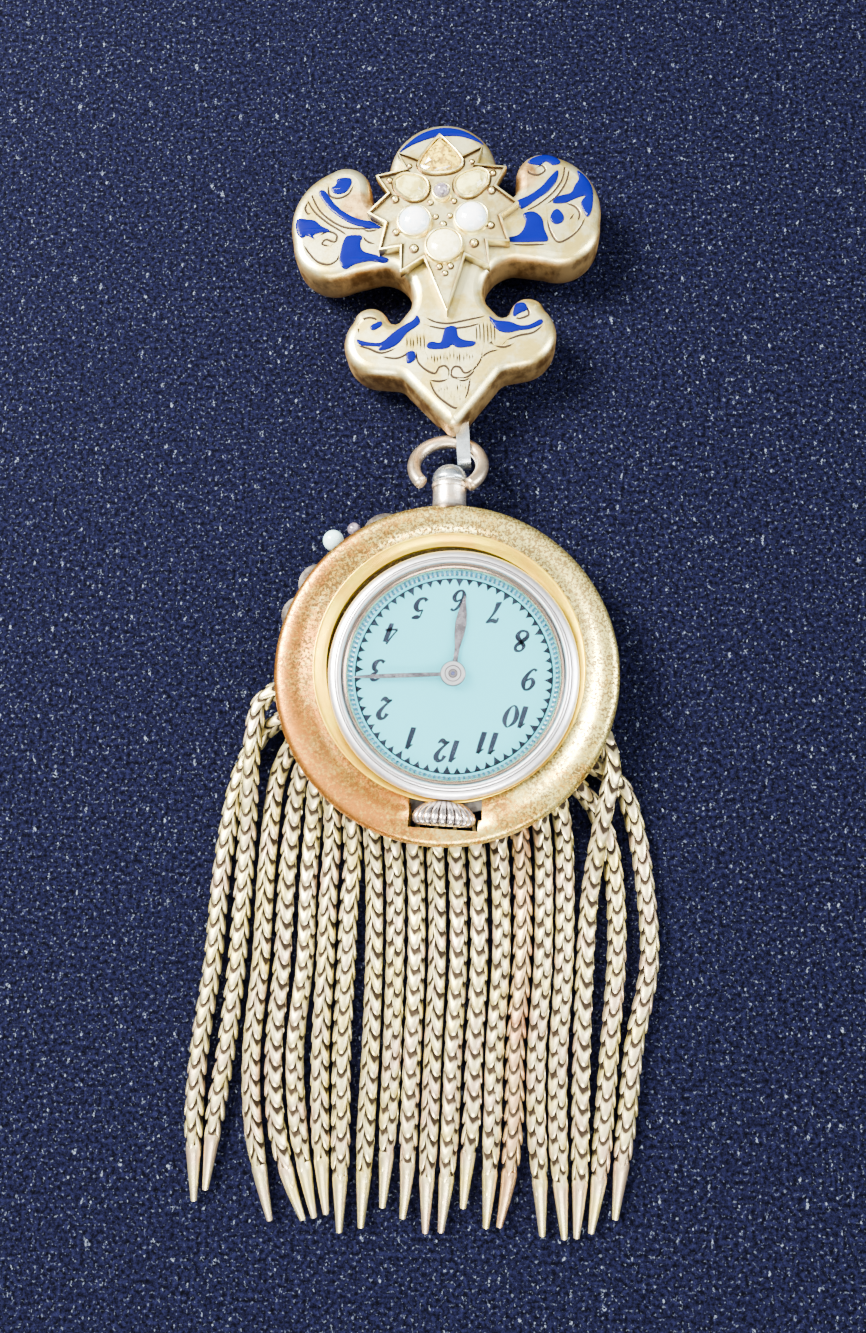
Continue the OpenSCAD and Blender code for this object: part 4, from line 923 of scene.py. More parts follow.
ENAMEL = enamel_glass()
MILKY = stone("milky_stone", (0.96, 0.98, 1.0), (0.62, 0.80, 0.94), 0.9)
CREAM = stone("cream_stone", (0.90, 0.86, 0.52), (0.76, 0.70, 0.34), 2.6, 0.2)
PALE_GLASS = stone("pale_glass", (0.82, 0.78, 0.30), (0.50, 0.42, 0.10), 1.1, 0.06, 0.2)
FOILED = stone("foiled_glass", (0.74, 0.54, 0.05), (0.24, 0.14, 0.015), 2.0, 0.08, 0.0, 1.0)
LILAC = stone("star_pearl", (0.09, 0.07, 0.09), (0.26, 0.22, 0.27), 1.5, 0.22)
AQUA = stone("pearl", (0.50, 0.82, 0.84), (0.72, 0.90, 0.90), 0.8, 0.2)
GLASS = glass()
DIAL = Shader("dial_enamel", (0.11, 0.88, 1.0), roughness=0.45, Specular_IOR_Level=0.2).material
PRINT = Shader("dial_print", (0.02, 0.024, 0.04), roughness=0.7, Specular_IOR_Level=0.1).material
print("stones and paints ready")

# %% [markdown]
# ## The brooch
# The body is a stamped shell with a rolled shoulder. Its outline is a run of
# arcs, the same as the solid's, but with three times the points and a rounder
# shoulder. The lines on its face were cut with a graver, so each is a V-shaped
# groove: two edges and a low middle, laid into one triangulated face.

# %% Outline of the brooch
# Arcs of the right half, from the top to the tip: centre, radius, first and
# last direction. Lengths are shares of half the brooch's width
OUTLINE_ARCS = [
    (0.0, 0.69, 0.35, 90, -5), (0.41, 0.545, 0.058, 180, 360), (0.635, 0.617, 0.165, 180, 62),
    (0.593, 0.372, 0.405, 68, -12), (0.731, 0.248, 0.255, -6, -115), (0.441, -0.158, 0.212, 92, 200),
    (0.341, -0.286, 0.043, 225, 340), (0.497, -0.328, 0.117, 160, 35), (0.445, -0.455, 0.225, 45, -84),
    (0.366, -0.779, 0.086, 95, 150), (0.0, -0.986, 0.059, -40, -90),
]
ARC_POINTS, OUTLINE_POINTS = 24, 400
# The shell's foot and height, and how far its shoulder rolls in
SHELL_Z, SHELL_H, SHOULDER = 1.5 * MM, 4.1 * MM, 1 * MM
# Share of the height that is upright wall, and how full the shoulder's curve is
WALL, FULLNESS = 0.72, 0.85
# The tip is notched from below for the link: up to this height, and up to this place
TIP_NOTCH_TOP, TIP_NOTCH_Y = 3.1 * MM, 20.6 * MM


def outline_of_arcs():
    """The brooch's outline as evenly spaced points, the left half mirrored from the right."""
    right = [(x + r * math.cos(t), y + r * math.sin(t)) for x, y, r, first, last in OUTLINE_ARCS
             for t in np.radians(np.linspace(first, last, ARC_POINTS))]
    loop = np.array((right + [(-x, y) for x, y in right[-2:0:-1]])[::-1]) * HALF_W
    steps = np.linalg.norm(np.roll(loop, -1, 0) - loop, axis=1)
    run = np.concatenate(([0], np.cumsum(steps)))
    closed = np.vstack((loop, loop[:1]))
    at = np.linspace(0, run[-1], OUTLINE_POINTS, endpoint=False)
    return np.stack([np.interp(at, run, closed[:, k]) for k in (0, 1)], axis=1)


def inset(loop, depth, share=0.8):
    """The loop moved inwards by a depth, or less where its far side is near."""
    ahead = np.roll(loop, -1, 0) - np.roll(loop, 1, 0)
    inward = np.stack((-ahead[:, 1], ahead[:, 0]), 1) / np.linalg.norm(ahead, axis=1)[:, None]
    apart = loop[None] - loop[:, None]
    reach = np.einsum("ijk,ik->ij", apart, inward)
    room = np.where(reach > 1e-5, (apart ** 2).sum(2) / np.maximum(2 * reach, 1e-9), 1)
    return loop + inward * np.minimum(depth, share * room.min(axis=1))[:, None]


def in_frame(points):
    """Brooch points, in metres from its middle, set at their place in the frame."""
    x, y = np.asarray(points, float).T
    cos, sin = math.cos(BROOCH_TURN), math.sin(BROOCH_TURN)
    return np.stack((cos * x - sin * y + BROOCH_AT.x, sin * x + cos * y + BROOCH_AT.y), 1)


def shoulder_rise(turn):
    """Height on the shell as a share of its own, a quarter turn from wall to face."""
    return WALL + (1 - WALL) * math.sin(turn) ** FULLNESS


OUTLINE = outline_of_arcs()
print("outline points:", len(OUTLINE))

# %% [markdown]
# The engraver drew scrolls, leaves and a small shield with single cuts that
# swell in the middle and run out to nothing, and filled some fields with fine
# upright cuts. Modelled grooves catch the light as real ones do, which painted
# lines wouldn't. Each cut is a narrow ribbon whose middle row is sunk.

# %% Engraving
# Lines cut by hand, as shares of half the brooch's width
ENGRAVED = [
    [(-0.86, 0.6), (-0.81, 0.48), (-0.74, 0.4), (-0.65, 0.34), (-0.55, 0.32), (-0.41, 0.32)],
    [(-0.885, 0.55), (-0.835, 0.46), (-0.75, 0.375), (-0.665, 0.31), (-0.63, 0.28)],
    [(-0.88, 0.535), (-0.895, 0.49), (-0.88, 0.45), (-0.855, 0.455)],
    [(-0.807, 0.29), (-0.75, 0.315), (-0.695, 0.285), (-0.71, 0.24), (-0.765, 0.26), (-0.79, 0.23),
     (-0.74, 0.21)],
    [(-0.91, 0.23), (-0.87, 0.165), (-0.82, 0.108), (-0.753, 0.085), (-0.7, 0.11), (-0.685, 0.15)],
    [(-0.53, 0.265), (-0.495, 0.225), (-0.45, 0.205)],
    [(-0.745, 0.64), (-0.735, 0.57), (-0.68, 0.545), (-0.615, 0.57), (-0.58, 0.63)],
    [(-0.70, 0.035), (-0.635, 0.045), (-0.56, 0.065), (-0.47, 0.075), (-0.4, 0.07)],
    [(0.785, 0.688), (0.765, 0.58), (0.7, 0.485), (0.6, 0.405), (0.52, 0.365)],
    [(0.81, 0.64), (0.785, 0.55), (0.725, 0.46), (0.65, 0.4)],
    [(0.89, 0.29), (0.85, 0.22), (0.79, 0.165), (0.712, 0.135), (0.668, 0.208), (0.65, 0.295)],
    [(0.53, 0.72), (0.545, 0.64), (0.605, 0.61), (0.655, 0.64), (0.635, 0.675), (0.6, 0.66)],
    [(0.42, 0.14), (0.51, 0.13), (0.64, 0.125)],
    [(-0.57, -0.4), (-0.565, -0.33), (-0.51, -0.297), (-0.45, -0.315), (-0.44, -0.36)],
    [(-0.43, -0.565), (-0.325, -0.58), (-0.235, -0.535)],
    [(-0.58, -0.48), (-0.51, -0.505), (-0.43, -0.54), (-0.34, -0.515)],
    [(0.4, -0.34), (0.44, -0.365), (0.5, -0.345), (0.49, -0.3), (0.435, -0.29)],
    [(0.355, -0.505), (0.44, -0.478), (0.523, -0.465), (0.585, -0.42)],
    [(0.277, -0.537), (0.34, -0.55), (0.4, -0.53)],
    [(-0.14, -0.322), (-0.085, -0.353), (0, -0.369), (0.11, -0.354), (0.23, -0.335)],
    [(-0.211, -0.545), (-0.203, -0.61), (-0.16, -0.665), (-0.1, -0.697), (-0.071, -0.659), (-0.033, -0.652),
     (-0.01, -0.686), (-0.018, -0.727)],
    [(0.2, -0.57), (0.186, -0.635), (0.132, -0.69), (0.086, -0.705), (0.059, -0.667), (0.023, -0.662),
     (0.003, -0.693), (0.015, -0.729), (0.079, -0.739), (0.131, -0.71), (0.198, -0.611), (0.25, -0.576),
     (0.304, -0.567)],
    [(-0.134, -0.74), (-0.1, -0.828), (-0.035, -0.897), (0.025, -0.934), (0.064, -0.903), (0.097, -0.843),
     (0.12, -0.742)],
    [(-0.134, -0.74), (-0.07, -0.751), (-0.016, -0.739)],
    [(0.026, -0.742), (0.078, -0.754), (0.12, -0.742)],
    [(-0.527, 0.31), (-0.486, 0.3), (-0.428, 0.304)],
    [(0.773, 0.4), (0.83, 0.371), (0.857, 0.321), (0.839, 0.266)],
    [(0.788, 0.278), (0.823, 0.323)],
    [(-0.135, -0.375), (-0.033, -0.402), (0.098, -0.401), (0.2, -0.382)],
    [(-0.833, 0.655), (-0.779, 0.684), (-0.726, 0.688)],
]
# Fields filled with fine upright cuts: left, right, foot, head and how many
HATCHED = [(-0.28, -0.15, -0.54, -0.42, 6), (0.16, 0.29, -0.53, -0.37, 6), (-0.15, 0.15, -0.64, -0.56, 15),
           (-0.09, -0.02, -0.83, -0.77, 4), (0.03, 0.095, -0.83, -0.77, 4), (-0.03, 0.055, -0.893, -0.85, 5)]
# Width of a line and of a fine cut, the depth of both, and the length of a line's run-out
GROOVE_W, HATCH_W, CUT, RUN_OUT = 0.26 * MM, 0.14 * MM, 0.1 * MM, 0.35 * MM
# How far a fine cut strays sideways, and how much its ends vary
STRAY, RAGGED = 0.003, 0.03


def ribbon(points, width):
    """Left, middle and right rows along a smooth line, narrowing to both of its ends."""
    line = Line([np.array((x, y, 0.0)) for x, y in points], 7)
    taper = np.clip(np.minimum(line.run, line.length - line.run) / RUN_OUT, 0.12, 1)
    swell = 0.8 + 0.35 * np.sin(line.run / line.length * math.pi)
    off = line.side * (width / 2 * taper * swell)[:, None]
    return (line.at + off)[:, :2], line.at[:, :2], (line.at - off)[:, :2]


def hatching():
    """The fine cuts, each a little off the last."""
    draw = random.Random(5)
    for left, right, foot, head, count in HATCHED:
        for k in range(count):
            x = left + (right - left) * (k + 0.5) / count + draw.uniform(-STRAY, STRAY)
            low, high = foot + draw.uniform(0, RAGGED), head - draw.uniform(0, RAGGED)
            yield [(x, low), (x + 0.002, (low + high) / 2), (x, high)]


print("engraved lines:", len(ENGRAVED), "fine cuts:", len(list(hatching())))

# %% [markdown]
# The body was stamped from sheet and closed behind. Its wall stands upright and
# then rolls into the face, so it is a stack of outlines, each moved in a little
# further. The face must carry every cut, so it is filled with triangles that
# keep each cut's three rows as edges. It is shaded flat and the shoulder soft.

# %% The engraved shell


def flat_face(border, grooves, height, low):
    """Triangles over a border, with each groove's middle row sunk below its edges."""
    points = list(map(tuple, border))
    edges = [(i, (i + 1) % len(border)) for i in range(len(border))]
    sunk = set()
    for rows in grooves:
        for row, is_middle in zip(rows, (False, True, False)):
            start = len(points)
            points += list(map(tuple, row))
            edges += [(start + i, start + i + 1) for i in range(len(row) - 1)]
            if is_middle:
                sunk.update(range(start, start + len(row)))
    result = delaunay_2d_cdt([Vector(p) for p in points], edges, [tuple(range(len(border)))], 1, 1e-9)
    places, faces, origins = result[0], result[2], result[3]
    deep = [1.0 if any(o in sunk for o in origin) else 0.0 for origin in origins]
    return np.array([(p.x, p.y, height - low * d) for p, d in zip(places, deep)]), faces, deep


def make_shell():
    """The stamped body: foot, wall and rolled shoulder as rings, and the engraved face on top."""
    build = Build()
    lower = [(0.95, 0), (0.45, 0), (0.25, 0.03), (0.12, 0.08), (0.03, 0.17), (0, 0.26), (0, 0.5), (0, WALL)]
    upper = [(1 - math.cos(t), shoulder_rise(t)) for t in np.radians(range(12, 90, 13))]
    rings = []
    for share, rise in lower + upper + [(1, 1)]:
        flat = in_frame(inset(OUTLINE, share * SHOULDER))
        z = np.full(len(flat), SHELL_Z + rise * SHELL_H)
        low = flat[:, 1] < TIP_NOTCH_Y
        z[low] = np.maximum(z[low], TIP_NOTCH_TOP)
        rings.append(np.column_stack((flat, z)))
    build.add(np.concatenate(rings), ring_faces(len(rings), OUTLINE_POINTS))
    lines = [(line, GROOVE_W) for line in ENGRAVED] + [(line, HATCH_W) for line in hatching()]
    grooves = [[in_frame(row) for row in ribbon([(x * HALF_W, y * HALF_W) for x, y in line], width)]
               for line, width in lines]
    points, faces, deep = flat_face(rings[-1][:, :2], grooves, FACE_Z, CUT)
    build.flat_from = len(build.faces)
    build.add(points, faces, deep)
    return build.finish("engraved_shell", BROOCH_METAL, node="brooch_shell", sharp=50)


shell = make_shell()
print("faces of the shell:", len(shell.data.polygons))

# %% [markdown]
# The enamel fields, the star and the cut stones have outlines of their own in
# the frame's solids. Reading them there keeps each looks piece on its solid.
# The outline of a flat top is the edges that only one of its triangles has.

# %% Outlines of flat faces
# How near a face must be to the height asked for
LEVEL = 0.01 * MM
# Steps in a metre to which two corners are taken as one
STEPS = 1e7


def cap_loops(node, z):
    """Outlines of a solid's upward faces at a height, each as points in order."""
    solid = cad[node]
    mesh, place = solid.data, solid.matrix_world
    spots = [place @ v.co for v in mesh.vertices]
    keys = [(round(p.x * STEPS), round(p.y * STEPS)) for p in spots]
    # A dict and not a set, so that the edges keep their order
    forward = {}
    for face in mesh.polygons:
        if face.normal.z > 0.9 and all(abs(spots[i].z - z) < LEVEL for i in face.vertices):
            ring = [keys[i] for i in face.vertices]
            for a, b in zip(ring, ring[1:] + ring[:1]):
                if (b, a) in forward:
                    del forward[(b, a)]
                else:
                    forward[(a, b)] = True
    after = {a: b for a, b in forward}
    loops = []
    while after:
        start, here = next(iter(after.items()))
        loop = [start]
        del after[start]
        while here != start and here in after:
            loop.append(here)
            here = after.pop(here)
        loops.append(np.array(loop) / STEPS)
    return loops


def mitred(loop, depth, limit=3.0):
    """A loop with straight sides moved inwards by the same distance, pointed corners by a limited one."""
    ahead = np.roll(loop, -1, 0) - loop
    ahead /= np.linalg.norm(ahead, axis=1)[:, None]
    normal = np.stack((-ahead[:, 1], ahead[:, 0]), 1)
    before = np.roll(normal, 1, 0)
    total = normal + before
    scale = np.minimum(2 / np.maximum((total ** 2).sum(1), 1e-3), limit ** 2 / 4)
    return loop + total * (depth * scale)[:, None]


def finer(loop, parts):
    """A closed loop drawn smoothly through its points."""
    n = len(loop)
    return np.array([spline(loop[i - 1], loop[i], loop[(i + 1) % n], loop[(i + 2) % n], k / parts)
                     for i in range(n) for k in range(parts)])


def with_z(loop, z):
    """A flat loop set at a height."""
    return np.column_stack((loop, np.broadcast_to(z, len(loop))))


def girdle_of(node):
    """The widest outline of a cut stone, grown from the outline of its table."""
    table = max(cap_loops(node, top_of(node)), key=len)
    low, high = (np.array(p[:2]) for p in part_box(node))
    share = (table - table.min(axis=0)) / np.ptp(table, axis=0)
    return low + share * (high - low)


print("points round the crest stone:", len(girdle_of("stone_crest")))

# %% [markdown]
# Cobalt enamel was melted into shallow fields of the face, where it stands a
# hair above the metal and rounds off at its rim. It follows the shoulder down
# at the ends of the scrolls. Each field is its solid's outline drawn smoothly
# and stacked in a few rings, each ring as high as the shell under it.

# %% Enamel fields
# How far the glass laps over the field's edge
LAP = 0.05 * MM
# Rings of a field: how far in from its edge, and the rise over the shell, in millimetres
ENAMEL_RINGS = ((0, -0.1), (0, 0.06), (0.05, 0.1), (0.16, 0.12), (0.4, 0.13))


def shell_height(points):
    """How high the shell stands under each point, on its face or round its shoulder."""
    gap = np.sqrt(((points[:, None] - in_frame(OUTLINE)[None]) ** 2).sum(2)).min(axis=1)
    turn = np.arccos(np.clip(1 - gap / SHOULDER, 0, 1))
    return SHELL_Z + SHELL_H * np.array([shoulder_rise(t) for t in turn])


def make_enamel(node):
    """The glass of one node, which may have more than one field."""
    build = Build()
    for loop in cap_loops(node, top_of(node)):
        loop = mitred(finer(loop, 3), -LAP, 1.3)
        rings = []
        for depth, rise in ENAMEL_RINGS:
            flat = inset(loop, depth * MM, 0.6)
            rings.append(np.column_stack((flat, shell_height(flat) + rise * MM)))
        build.stack(rings)
    return build.finish("fired_" + node, ENAMEL, node=node, sharp=60)


fields = [make_enamel(name) for name in cad if name.startswith("enamel_")]
print("enamel fields:", [piece.name for piece in fields])

# %% [markdown]
# Beads of metal hold the stones, the round ones sit in turned collars and the pointed ones in rims that
# follow their outline. Each has painted shade at its foot. Beads are small domes and collars are lathe
# profiles, and a low dark disc under each is that painted shade, since paint on a plate would need a map.

# %% Beads, collars and rims
STAR_BASE, STAR_TOP = 5.63 * MM, 6.53 * MM
# Round stones in collars, with the collar's inner radius in millimetres, and stones in rims
COLLARED = {"stone_white_left": 1.45, "stone_white_right": 1.45, "stone_cream": 1.6, "star_pearl": 0.75}
RIMMED = ("stone_pear_left", "stone_pear_right", "stone_crest")
# Rows of a rim round a cut stone: in from its outline and up from the star's top
RIM_ROWS = [(-0.22, -0.45), (-0.2, 0.12), (-0.12, 0.22), (-0.05, 0.2), (-0.01, 0.1), (0.02, -0.3)]
# Shift of the star from the outline's middle, as shares of half the brooch's width
STAR_AT = (-0.01, 0.03)
# Beads on the star: the place in the same shares, and the radius in millimetres
BEADS = [(-0.30, 0.44, 0.2), (0.315, 0.455, 0.2), (-0.30, 0.21, 0.18), (0.30, 0.215, 0.18),
         (-0.19, 0.09, 0.22), (0.19, 0.10, 0.22), (-0.035, -0.045, 0.16), (0.035, -0.045, 0.16),
         (0, -0.09, 0.15), (-0.075, 0.4, 0.15), (0.075, 0.4, 0.15), (0, 0.245, 0.17),
         (0.045, 0.3, 0.14), (-0.045, 0.3, 0.14), (-0.33, 0.575, 0.16), (0.33, 0.575, 0.16),
         (-0.2, 0.665, 0.13), (0.2, 0.665, 0.13)]


def dome(build, at, radius, z, rise, sides=20, steps=7, depth=0.0):
    """Half a ball, flattened to a given rise, standing on a short wall."""
    turns = np.linspace(0, 2 * math.pi, sides, endpoint=False)
    circle = np.stack((np.cos(turns), np.sin(turns)), 1)
    rings = [with_z(at + circle * radius * 0.98, z)]
    for t in np.radians(np.linspace(0, 86, steps)):
        rings.append(with_z(at + circle * radius * math.cos(t), z + rise * (0.12 + 0.88 * math.sin(t))))
    build.stack(rings, [depth] * len(rings), flat=False)


def add_beads(build):
    """Metal beads, each with a disc of painted shade at its foot."""
    for x, y, radius in BEADS:
        r = radius * MM
        at = in_frame([((x + STAR_AT[0]) * HALF_W, (y + STAR_AT[1]) * HALF_W)])[0]
        # A low dark disc of painted shade at the bead's foot
        dome(build, at, 2.2 * r, STAR_TOP - 0.13 * MM, 0.06 * MM, 16, 3, 1.0)
        dome(build, at, 1.45 * r, STAR_TOP - 0.14 * MM, 1.5 * r, 14, 5)


def add_collar(build, node, radius):
    """A turned collar round a round stone, with painted shade at its foot."""
    at = middle(node)
    r, top = radius * MM, STAR_TOP + 0.25 * MM
    # A low dark disc of painted shade at the collar's foot
    dome(build, np.array((at.x, at.y)), r + 0.38 * MM, STAR_TOP - 0.25 * MM, 0.12 * MM, 48, 3, 1.0)
    build.lathe([(r * 0.99, top - 0.5 * MM), (r * 0.99, top - 0.04 * MM), (r + 0.05 * MM, top),
                 (r + 0.13 * MM, top - 0.02 * MM), (r + 0.2 * MM, top - 0.14 * MM),
                 (r + 0.22 * MM, STAR_TOP - 0.2 * MM)], (at.x, at.y), 48)


def add_rim(build, node):
    """A rim that follows a cut stone's outline, with painted shade at its foot."""
    girdle = finer(girdle_of(node), 3)
    build.stack([with_z(mitred(girdle, depth * MM), STAR_TOP + rise * MM) for depth, rise in RIM_ROWS])
    # A dark band of painted shade round the rim's foot
    foot_shade = [with_z(mitred(girdle, -0.36 * MM), STAR_TOP + rise * MM) for rise in (-0.25, -0.13)]
    build.stack(foot_shade, [1.0, 1.0])


print("beads:", len(BEADS), "collars:", len(COLLARED), "rims:", len(RIMMED))

# %% [markdown]
# The star is a separate cut plate. Its edge was left as a bright standing ridge with the arms sunk inside it.
# Painted shade darkens the foot of that ridge and the plate's outer wall. The plate is its own outline
# stacked and drawn in, row by row. Everything that is soldered to it joins the same mesh.

# %% Star
# Rows of the plate: in from its edge and up from its top in millimetres, and painted shade
STAR_ROWS = [(0, -0.7, 0.9), (0, -0.2, 0.5), (0.02, 0.1, 0.0), (0.17, 0.13, 0.0), (0.2, 0.08, 0.95),
             (0.28, -0.14, 1.0), (0.45, -0.18, 0.4), (0.66, -0.17, 0.08)]


def make_star():
    """The star plate with everything that stands on it but the stones."""
    build = Build()
    outline = max(cap_loops("star_setting", STAR_TOP), key=lambda loop: np.ptp(loop[:, 1]))
    rings = [with_z(outline, STAR_BASE)]
    for depth, rise, dark in STAR_ROWS:
        rings.append(with_z(mitred(outline, depth * MM, 2.2), STAR_TOP + rise * MM))
    # The outer wall and the foot of the ridge get painted shade
    build.stack(rings, [1.0] + [dark for depth, rise, dark in STAR_ROWS])
    add_beads(build)
    for node, radius in COLLARED.items():
        add_collar(build, node, radius)
    for node in RIMMED:
        add_rim(build, node)
    return build.finish("jewel_star", STAR_METAL, node="star_setting", sharp=32)


star = make_star()
print("star faces:", len(star.data.polygons))

# %% [markdown]
# Two white stones and a cream one are polished domes. Three pointed stones are
# cut with a flat table and a belt of facets, so they are shaded flat. The
# pearls are plain balls. A dome is rings of one circle, and a cut stone is four
# rings of its own outline, the third turned by half a side as a cutter would.

# %% Stones
# Rings of a cut stone: its size, its height as a share, and whether it is turned
CUT_RINGS = ((1.0, 0.0, False), (1.0, 0.3, False), (0.84, 0.66, True), (0.56, 1.0, False))


def cut_stone(name, node, material, rise):
    """A table, two rings of facets and a girdle, from the outline of the solid's table."""
    build = Build()
    girdle = girdle_of(node)
    center = (girdle.min(axis=0) + girdle.max(axis=0)) / 2
    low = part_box(node)[0][2]
    rings = []
    for scale, z, turned in CUT_RINGS:
        ring = (girdle + np.roll(girdle, -1, 0)) / 2 if turned else girdle
        rings.append(with_z(center + (ring - center) * scale, low + z * rise * MM))
    build.stack(rings)
    return build.finish(name, material, smooth=False, node=node)


def domed_stone(name, node, material, radius, rise):
    """A polished dome on its solid's foot, its radius and rise in millimetres."""
    build = Build()
    at = middle(node)
    dome(build, np.array((at.x, at.y)), radius * MM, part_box(node)[0][2], rise * MM, 48, 14)
    return build.finish(name, material, node=node, sharp=60)


def ball(name, node, material):
    """A round pearl that fills its solid's box."""
    low, high = (Vector(p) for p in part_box(node))
    center, half = (low + high) / 2, (high - low) / 2
    build = Build()
    turns = np.linspace(0, 2 * math.pi, 32, endpoint=False)
    rings = []
    for t in np.radians(np.linspace(-88, 88, 17)):
        x = center.x + half.x * math.cos(t) * np.cos(turns)
        y = center.y + half.y * math.cos(t) * np.sin(turns)
        rings.append(with_z(np.stack((x, y), 1), center.z + half.z * math.sin(t)))
    build.stack(rings)
    return build.finish(name, material, node=node)


stones = [
    domed_stone("white_left", "stone_white_left", MILKY, 1.43, 1.15),
    domed_stone("white_right", "stone_white_right", MILKY, 1.43, 1.15),
    domed_stone("cream", "stone_cream", CREAM, 1.58, 0.9),
    domed_stone("middle_pearl", "star_pearl", LILAC, 0.74, 1.1),
    cut_stone("pear_left", "stone_pear_left", PALE_GLASS, 0.72),
    cut_stone("pear_right", "stone_pear_right", PALE_GLASS, 0.72),
    cut_stone("crest_stone", "stone_crest", FOILED, 0.68),
    ball("edge_pearl", "front_pearl", AQUA),
    ball("edge_bead", "front_bead", LILAC),
]
print("stones:", [o.name for o in stones])

# %% [markdown]
# ## The fob and the watch
# The fob is a turned disc with a cup for the watch, and bow and bail are bent
# from wire and strip. Their solids have the right form, but in small flat
# facets. A copy that is shaded softly from facet to facet, and sharply at real
# edges, looks turned or bent and stays exactly where its solid is.

# %% Smooth copies of turned and bent parts
SHARP_FROM = math.radians(35)
# Node, material and slot of each copy
SMOOTHED = [
    ("bow", BOW_METAL, "bow_gold"), ("bail", STEEL, "pale_steel"), ("neck_cap", STEEL, "pale_steel"),
    ("fob_plate", FOB_METAL, "fob_gold"), ("fob_front", FRONT_METAL, "fob_gold"),
]


def smooth_copy(node, material, slot):
    """The solid's own form with soft shading between its small facets."""
    mesh = cad[node].data.copy()
    mesh.transform(cad[node].matrix_world)
    form = bmesh.new()
    form.from_mesh(mesh)
    bmesh.ops.remove_doubles(form, verts=form.verts, dist=1e-7)
    form.to_mesh(mesh)
    form.free()
    mesh.materials.clear()
    mesh.materials.append(material)
    mesh.polygons.foreach_set("material_index", [0] * len(mesh.polygons))
    mesh.polygons.foreach_set("use_smooth", [True] * len(mesh.polygons))
    mesh.set_sharp_from_angle(angle=SHARP_FROM)
    piece = bpy.data.objects.new("smooth_" + node, mesh)
    bpy.context.scene.collection.objects.link(piece)
    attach(piece, "root")
    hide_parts(node)
    return piece


copies = [smooth_copy(*values) for values in SMOOTHED]
print("smooth copies:", [o.name for o in copies])

# %% [markdown]
# A short neck joins the plate to its cap: a waisted tube with a collar at each end, and darker metal where
# the collars meet it. The frame's plate has it as a plain rod. A profile of rings round the neck's own axis
# gives the waist.

# %% Neck post
POST_TURN, POST_Z, POST_SIDES = math.radians(88.7), 3.7 * MM, 40
# Along the post from the fob's middle, radius and how dark the metal is
POST = [(14.7, 1.62, 1), (15.05, 1.6, 0.6), (15.2, 1.53, 0), (15.6, 1.5, 0), (16.2, 1.495, 0),
        (16.7, 1.51, 0), (16.85, 1.53, 0.7), (16.9, 1.6, 0), (17.2, 1.62, 0), (17.32, 1.56, 0.5)]


def make_post():
    """The neck between plate and cap: a waisted tube with a collar at its outer end."""
    way = Vector((math.cos(POST_TURN), math.sin(POST_TURN), 0))
    across = Vector((way.y, -way.x, 0))
    build = Build()
    rings, dark = [], []
    for along, radius, deep in POST:
        start = FOB_AT + way * along * MM + Vector((0, 0, POST_Z))
        rings.append([tuple(start + (across * math.cos(t) + Vector((0, 0, math.sin(t)))) * radius * MM)
                      for t in np.linspace(0, 2 * math.pi, POST_SIDES, endpoint=False)])
        dark.append(deep)
    build.stack(rings, dark, flat=False)
    return build.finish("neck_post", POST_METAL, sharp=40)


make_post()
print("rings of the neck:", len(POST))

# %% [markdown]
# From the plate inwards lie a bright sloping band of the fob, the silver bezel
# with two fine grooves, a thin copper edge and a ribbed ring that holds the
# glass off the dial. All but the first and last are profiles turned on a lathe.
# The band follows two circles that don't share a middle, and the ribs need
# their own points, so these two are built as rings.

# %% Rings of the watch
LATHE_SIDES = 160
# Profiles: radius and height in millimetres, and how dark the metal is in a groove
BEZEL = [(9.62, 5.1), (10.55, 5.08, 1), (10.76, 5.22, 0.8), (10.8, 5.6), (10.76, 5.9), (10.62, 6.1),
         (10.4, 6.24), (10.16, 6.31), (10.13, 6.31, 0.3), (10.1, 6.2, 1), (10.06, 6.22, 0.3), (10.02, 6.34),
         (9.93, 6.38), (9.9, 6.3, 1), (9.86, 6.3, 0.3), (9.8, 6.4), (9.68, 6.38), (9.6, 6.26), (9.6, 6.0, 1),
         (9.66, 5.8, 1)]
COPPER_RING = [(9.44, 5.3), (9.44, 5.84), (9.36, 5.86), (9.25, 5.8), (9.12, 5.6), (9.1, 5.3)]
# The band's outer radius, its least inner one, and the watch's wall that it stops at
LINER_OUTER, LINER_INNER, CASE_WALL = 11.79 * MM, 10.7 * MM, 10.4 * MM
# Rows of the band: share of the way inwards, and height in millimetres
LINER_ROWS = ((0, 4.4), (0, 5.37), (0.08, 5.39), (0.2, 5.34), (0.55, 5.1), (0.75, 4.98), (1, 4.9), (1, 4.4))
RIBS, POINTS_IN_RIB = 132, 4
# Rows of the ribbed ring: radius in a gap and on a rib, and height, in millimetres
RIB_ROWS = ((9.42, 9.42, 4.66), (8.82, 8.86, 4.66), (8.8, 8.98, 4.72), (8.94, 9.16, 5.25),
            (9.08, 9.2, 5.45), (9.42, 9.42, 5.45), (9.42, 9.42, 4.66))


def lathe_piece(name, profile, material, node=None, sides=LATHE_SIDES, body="root"):
    """A piece turned about the watch's middle."""
    build = Build()
    dark = [point[2] if len(point) > 2 else 0.0 for point in profile]
    build.lathe([(point[0] * MM, point[1] * MM) for point in profile], (WATCH.x, WATCH.y), sides, dark)
    return build.finish(name, material, node=node, body=body, sharp=30)


def circle(center, radius, sides):
    """Points round a centre, with one radius or one for each point."""
    turn = np.arange(sides) * 2 * math.pi / sides
    return np.stack((center.x + radius * np.cos(turn), center.y + radius * np.sin(turn)), 1)


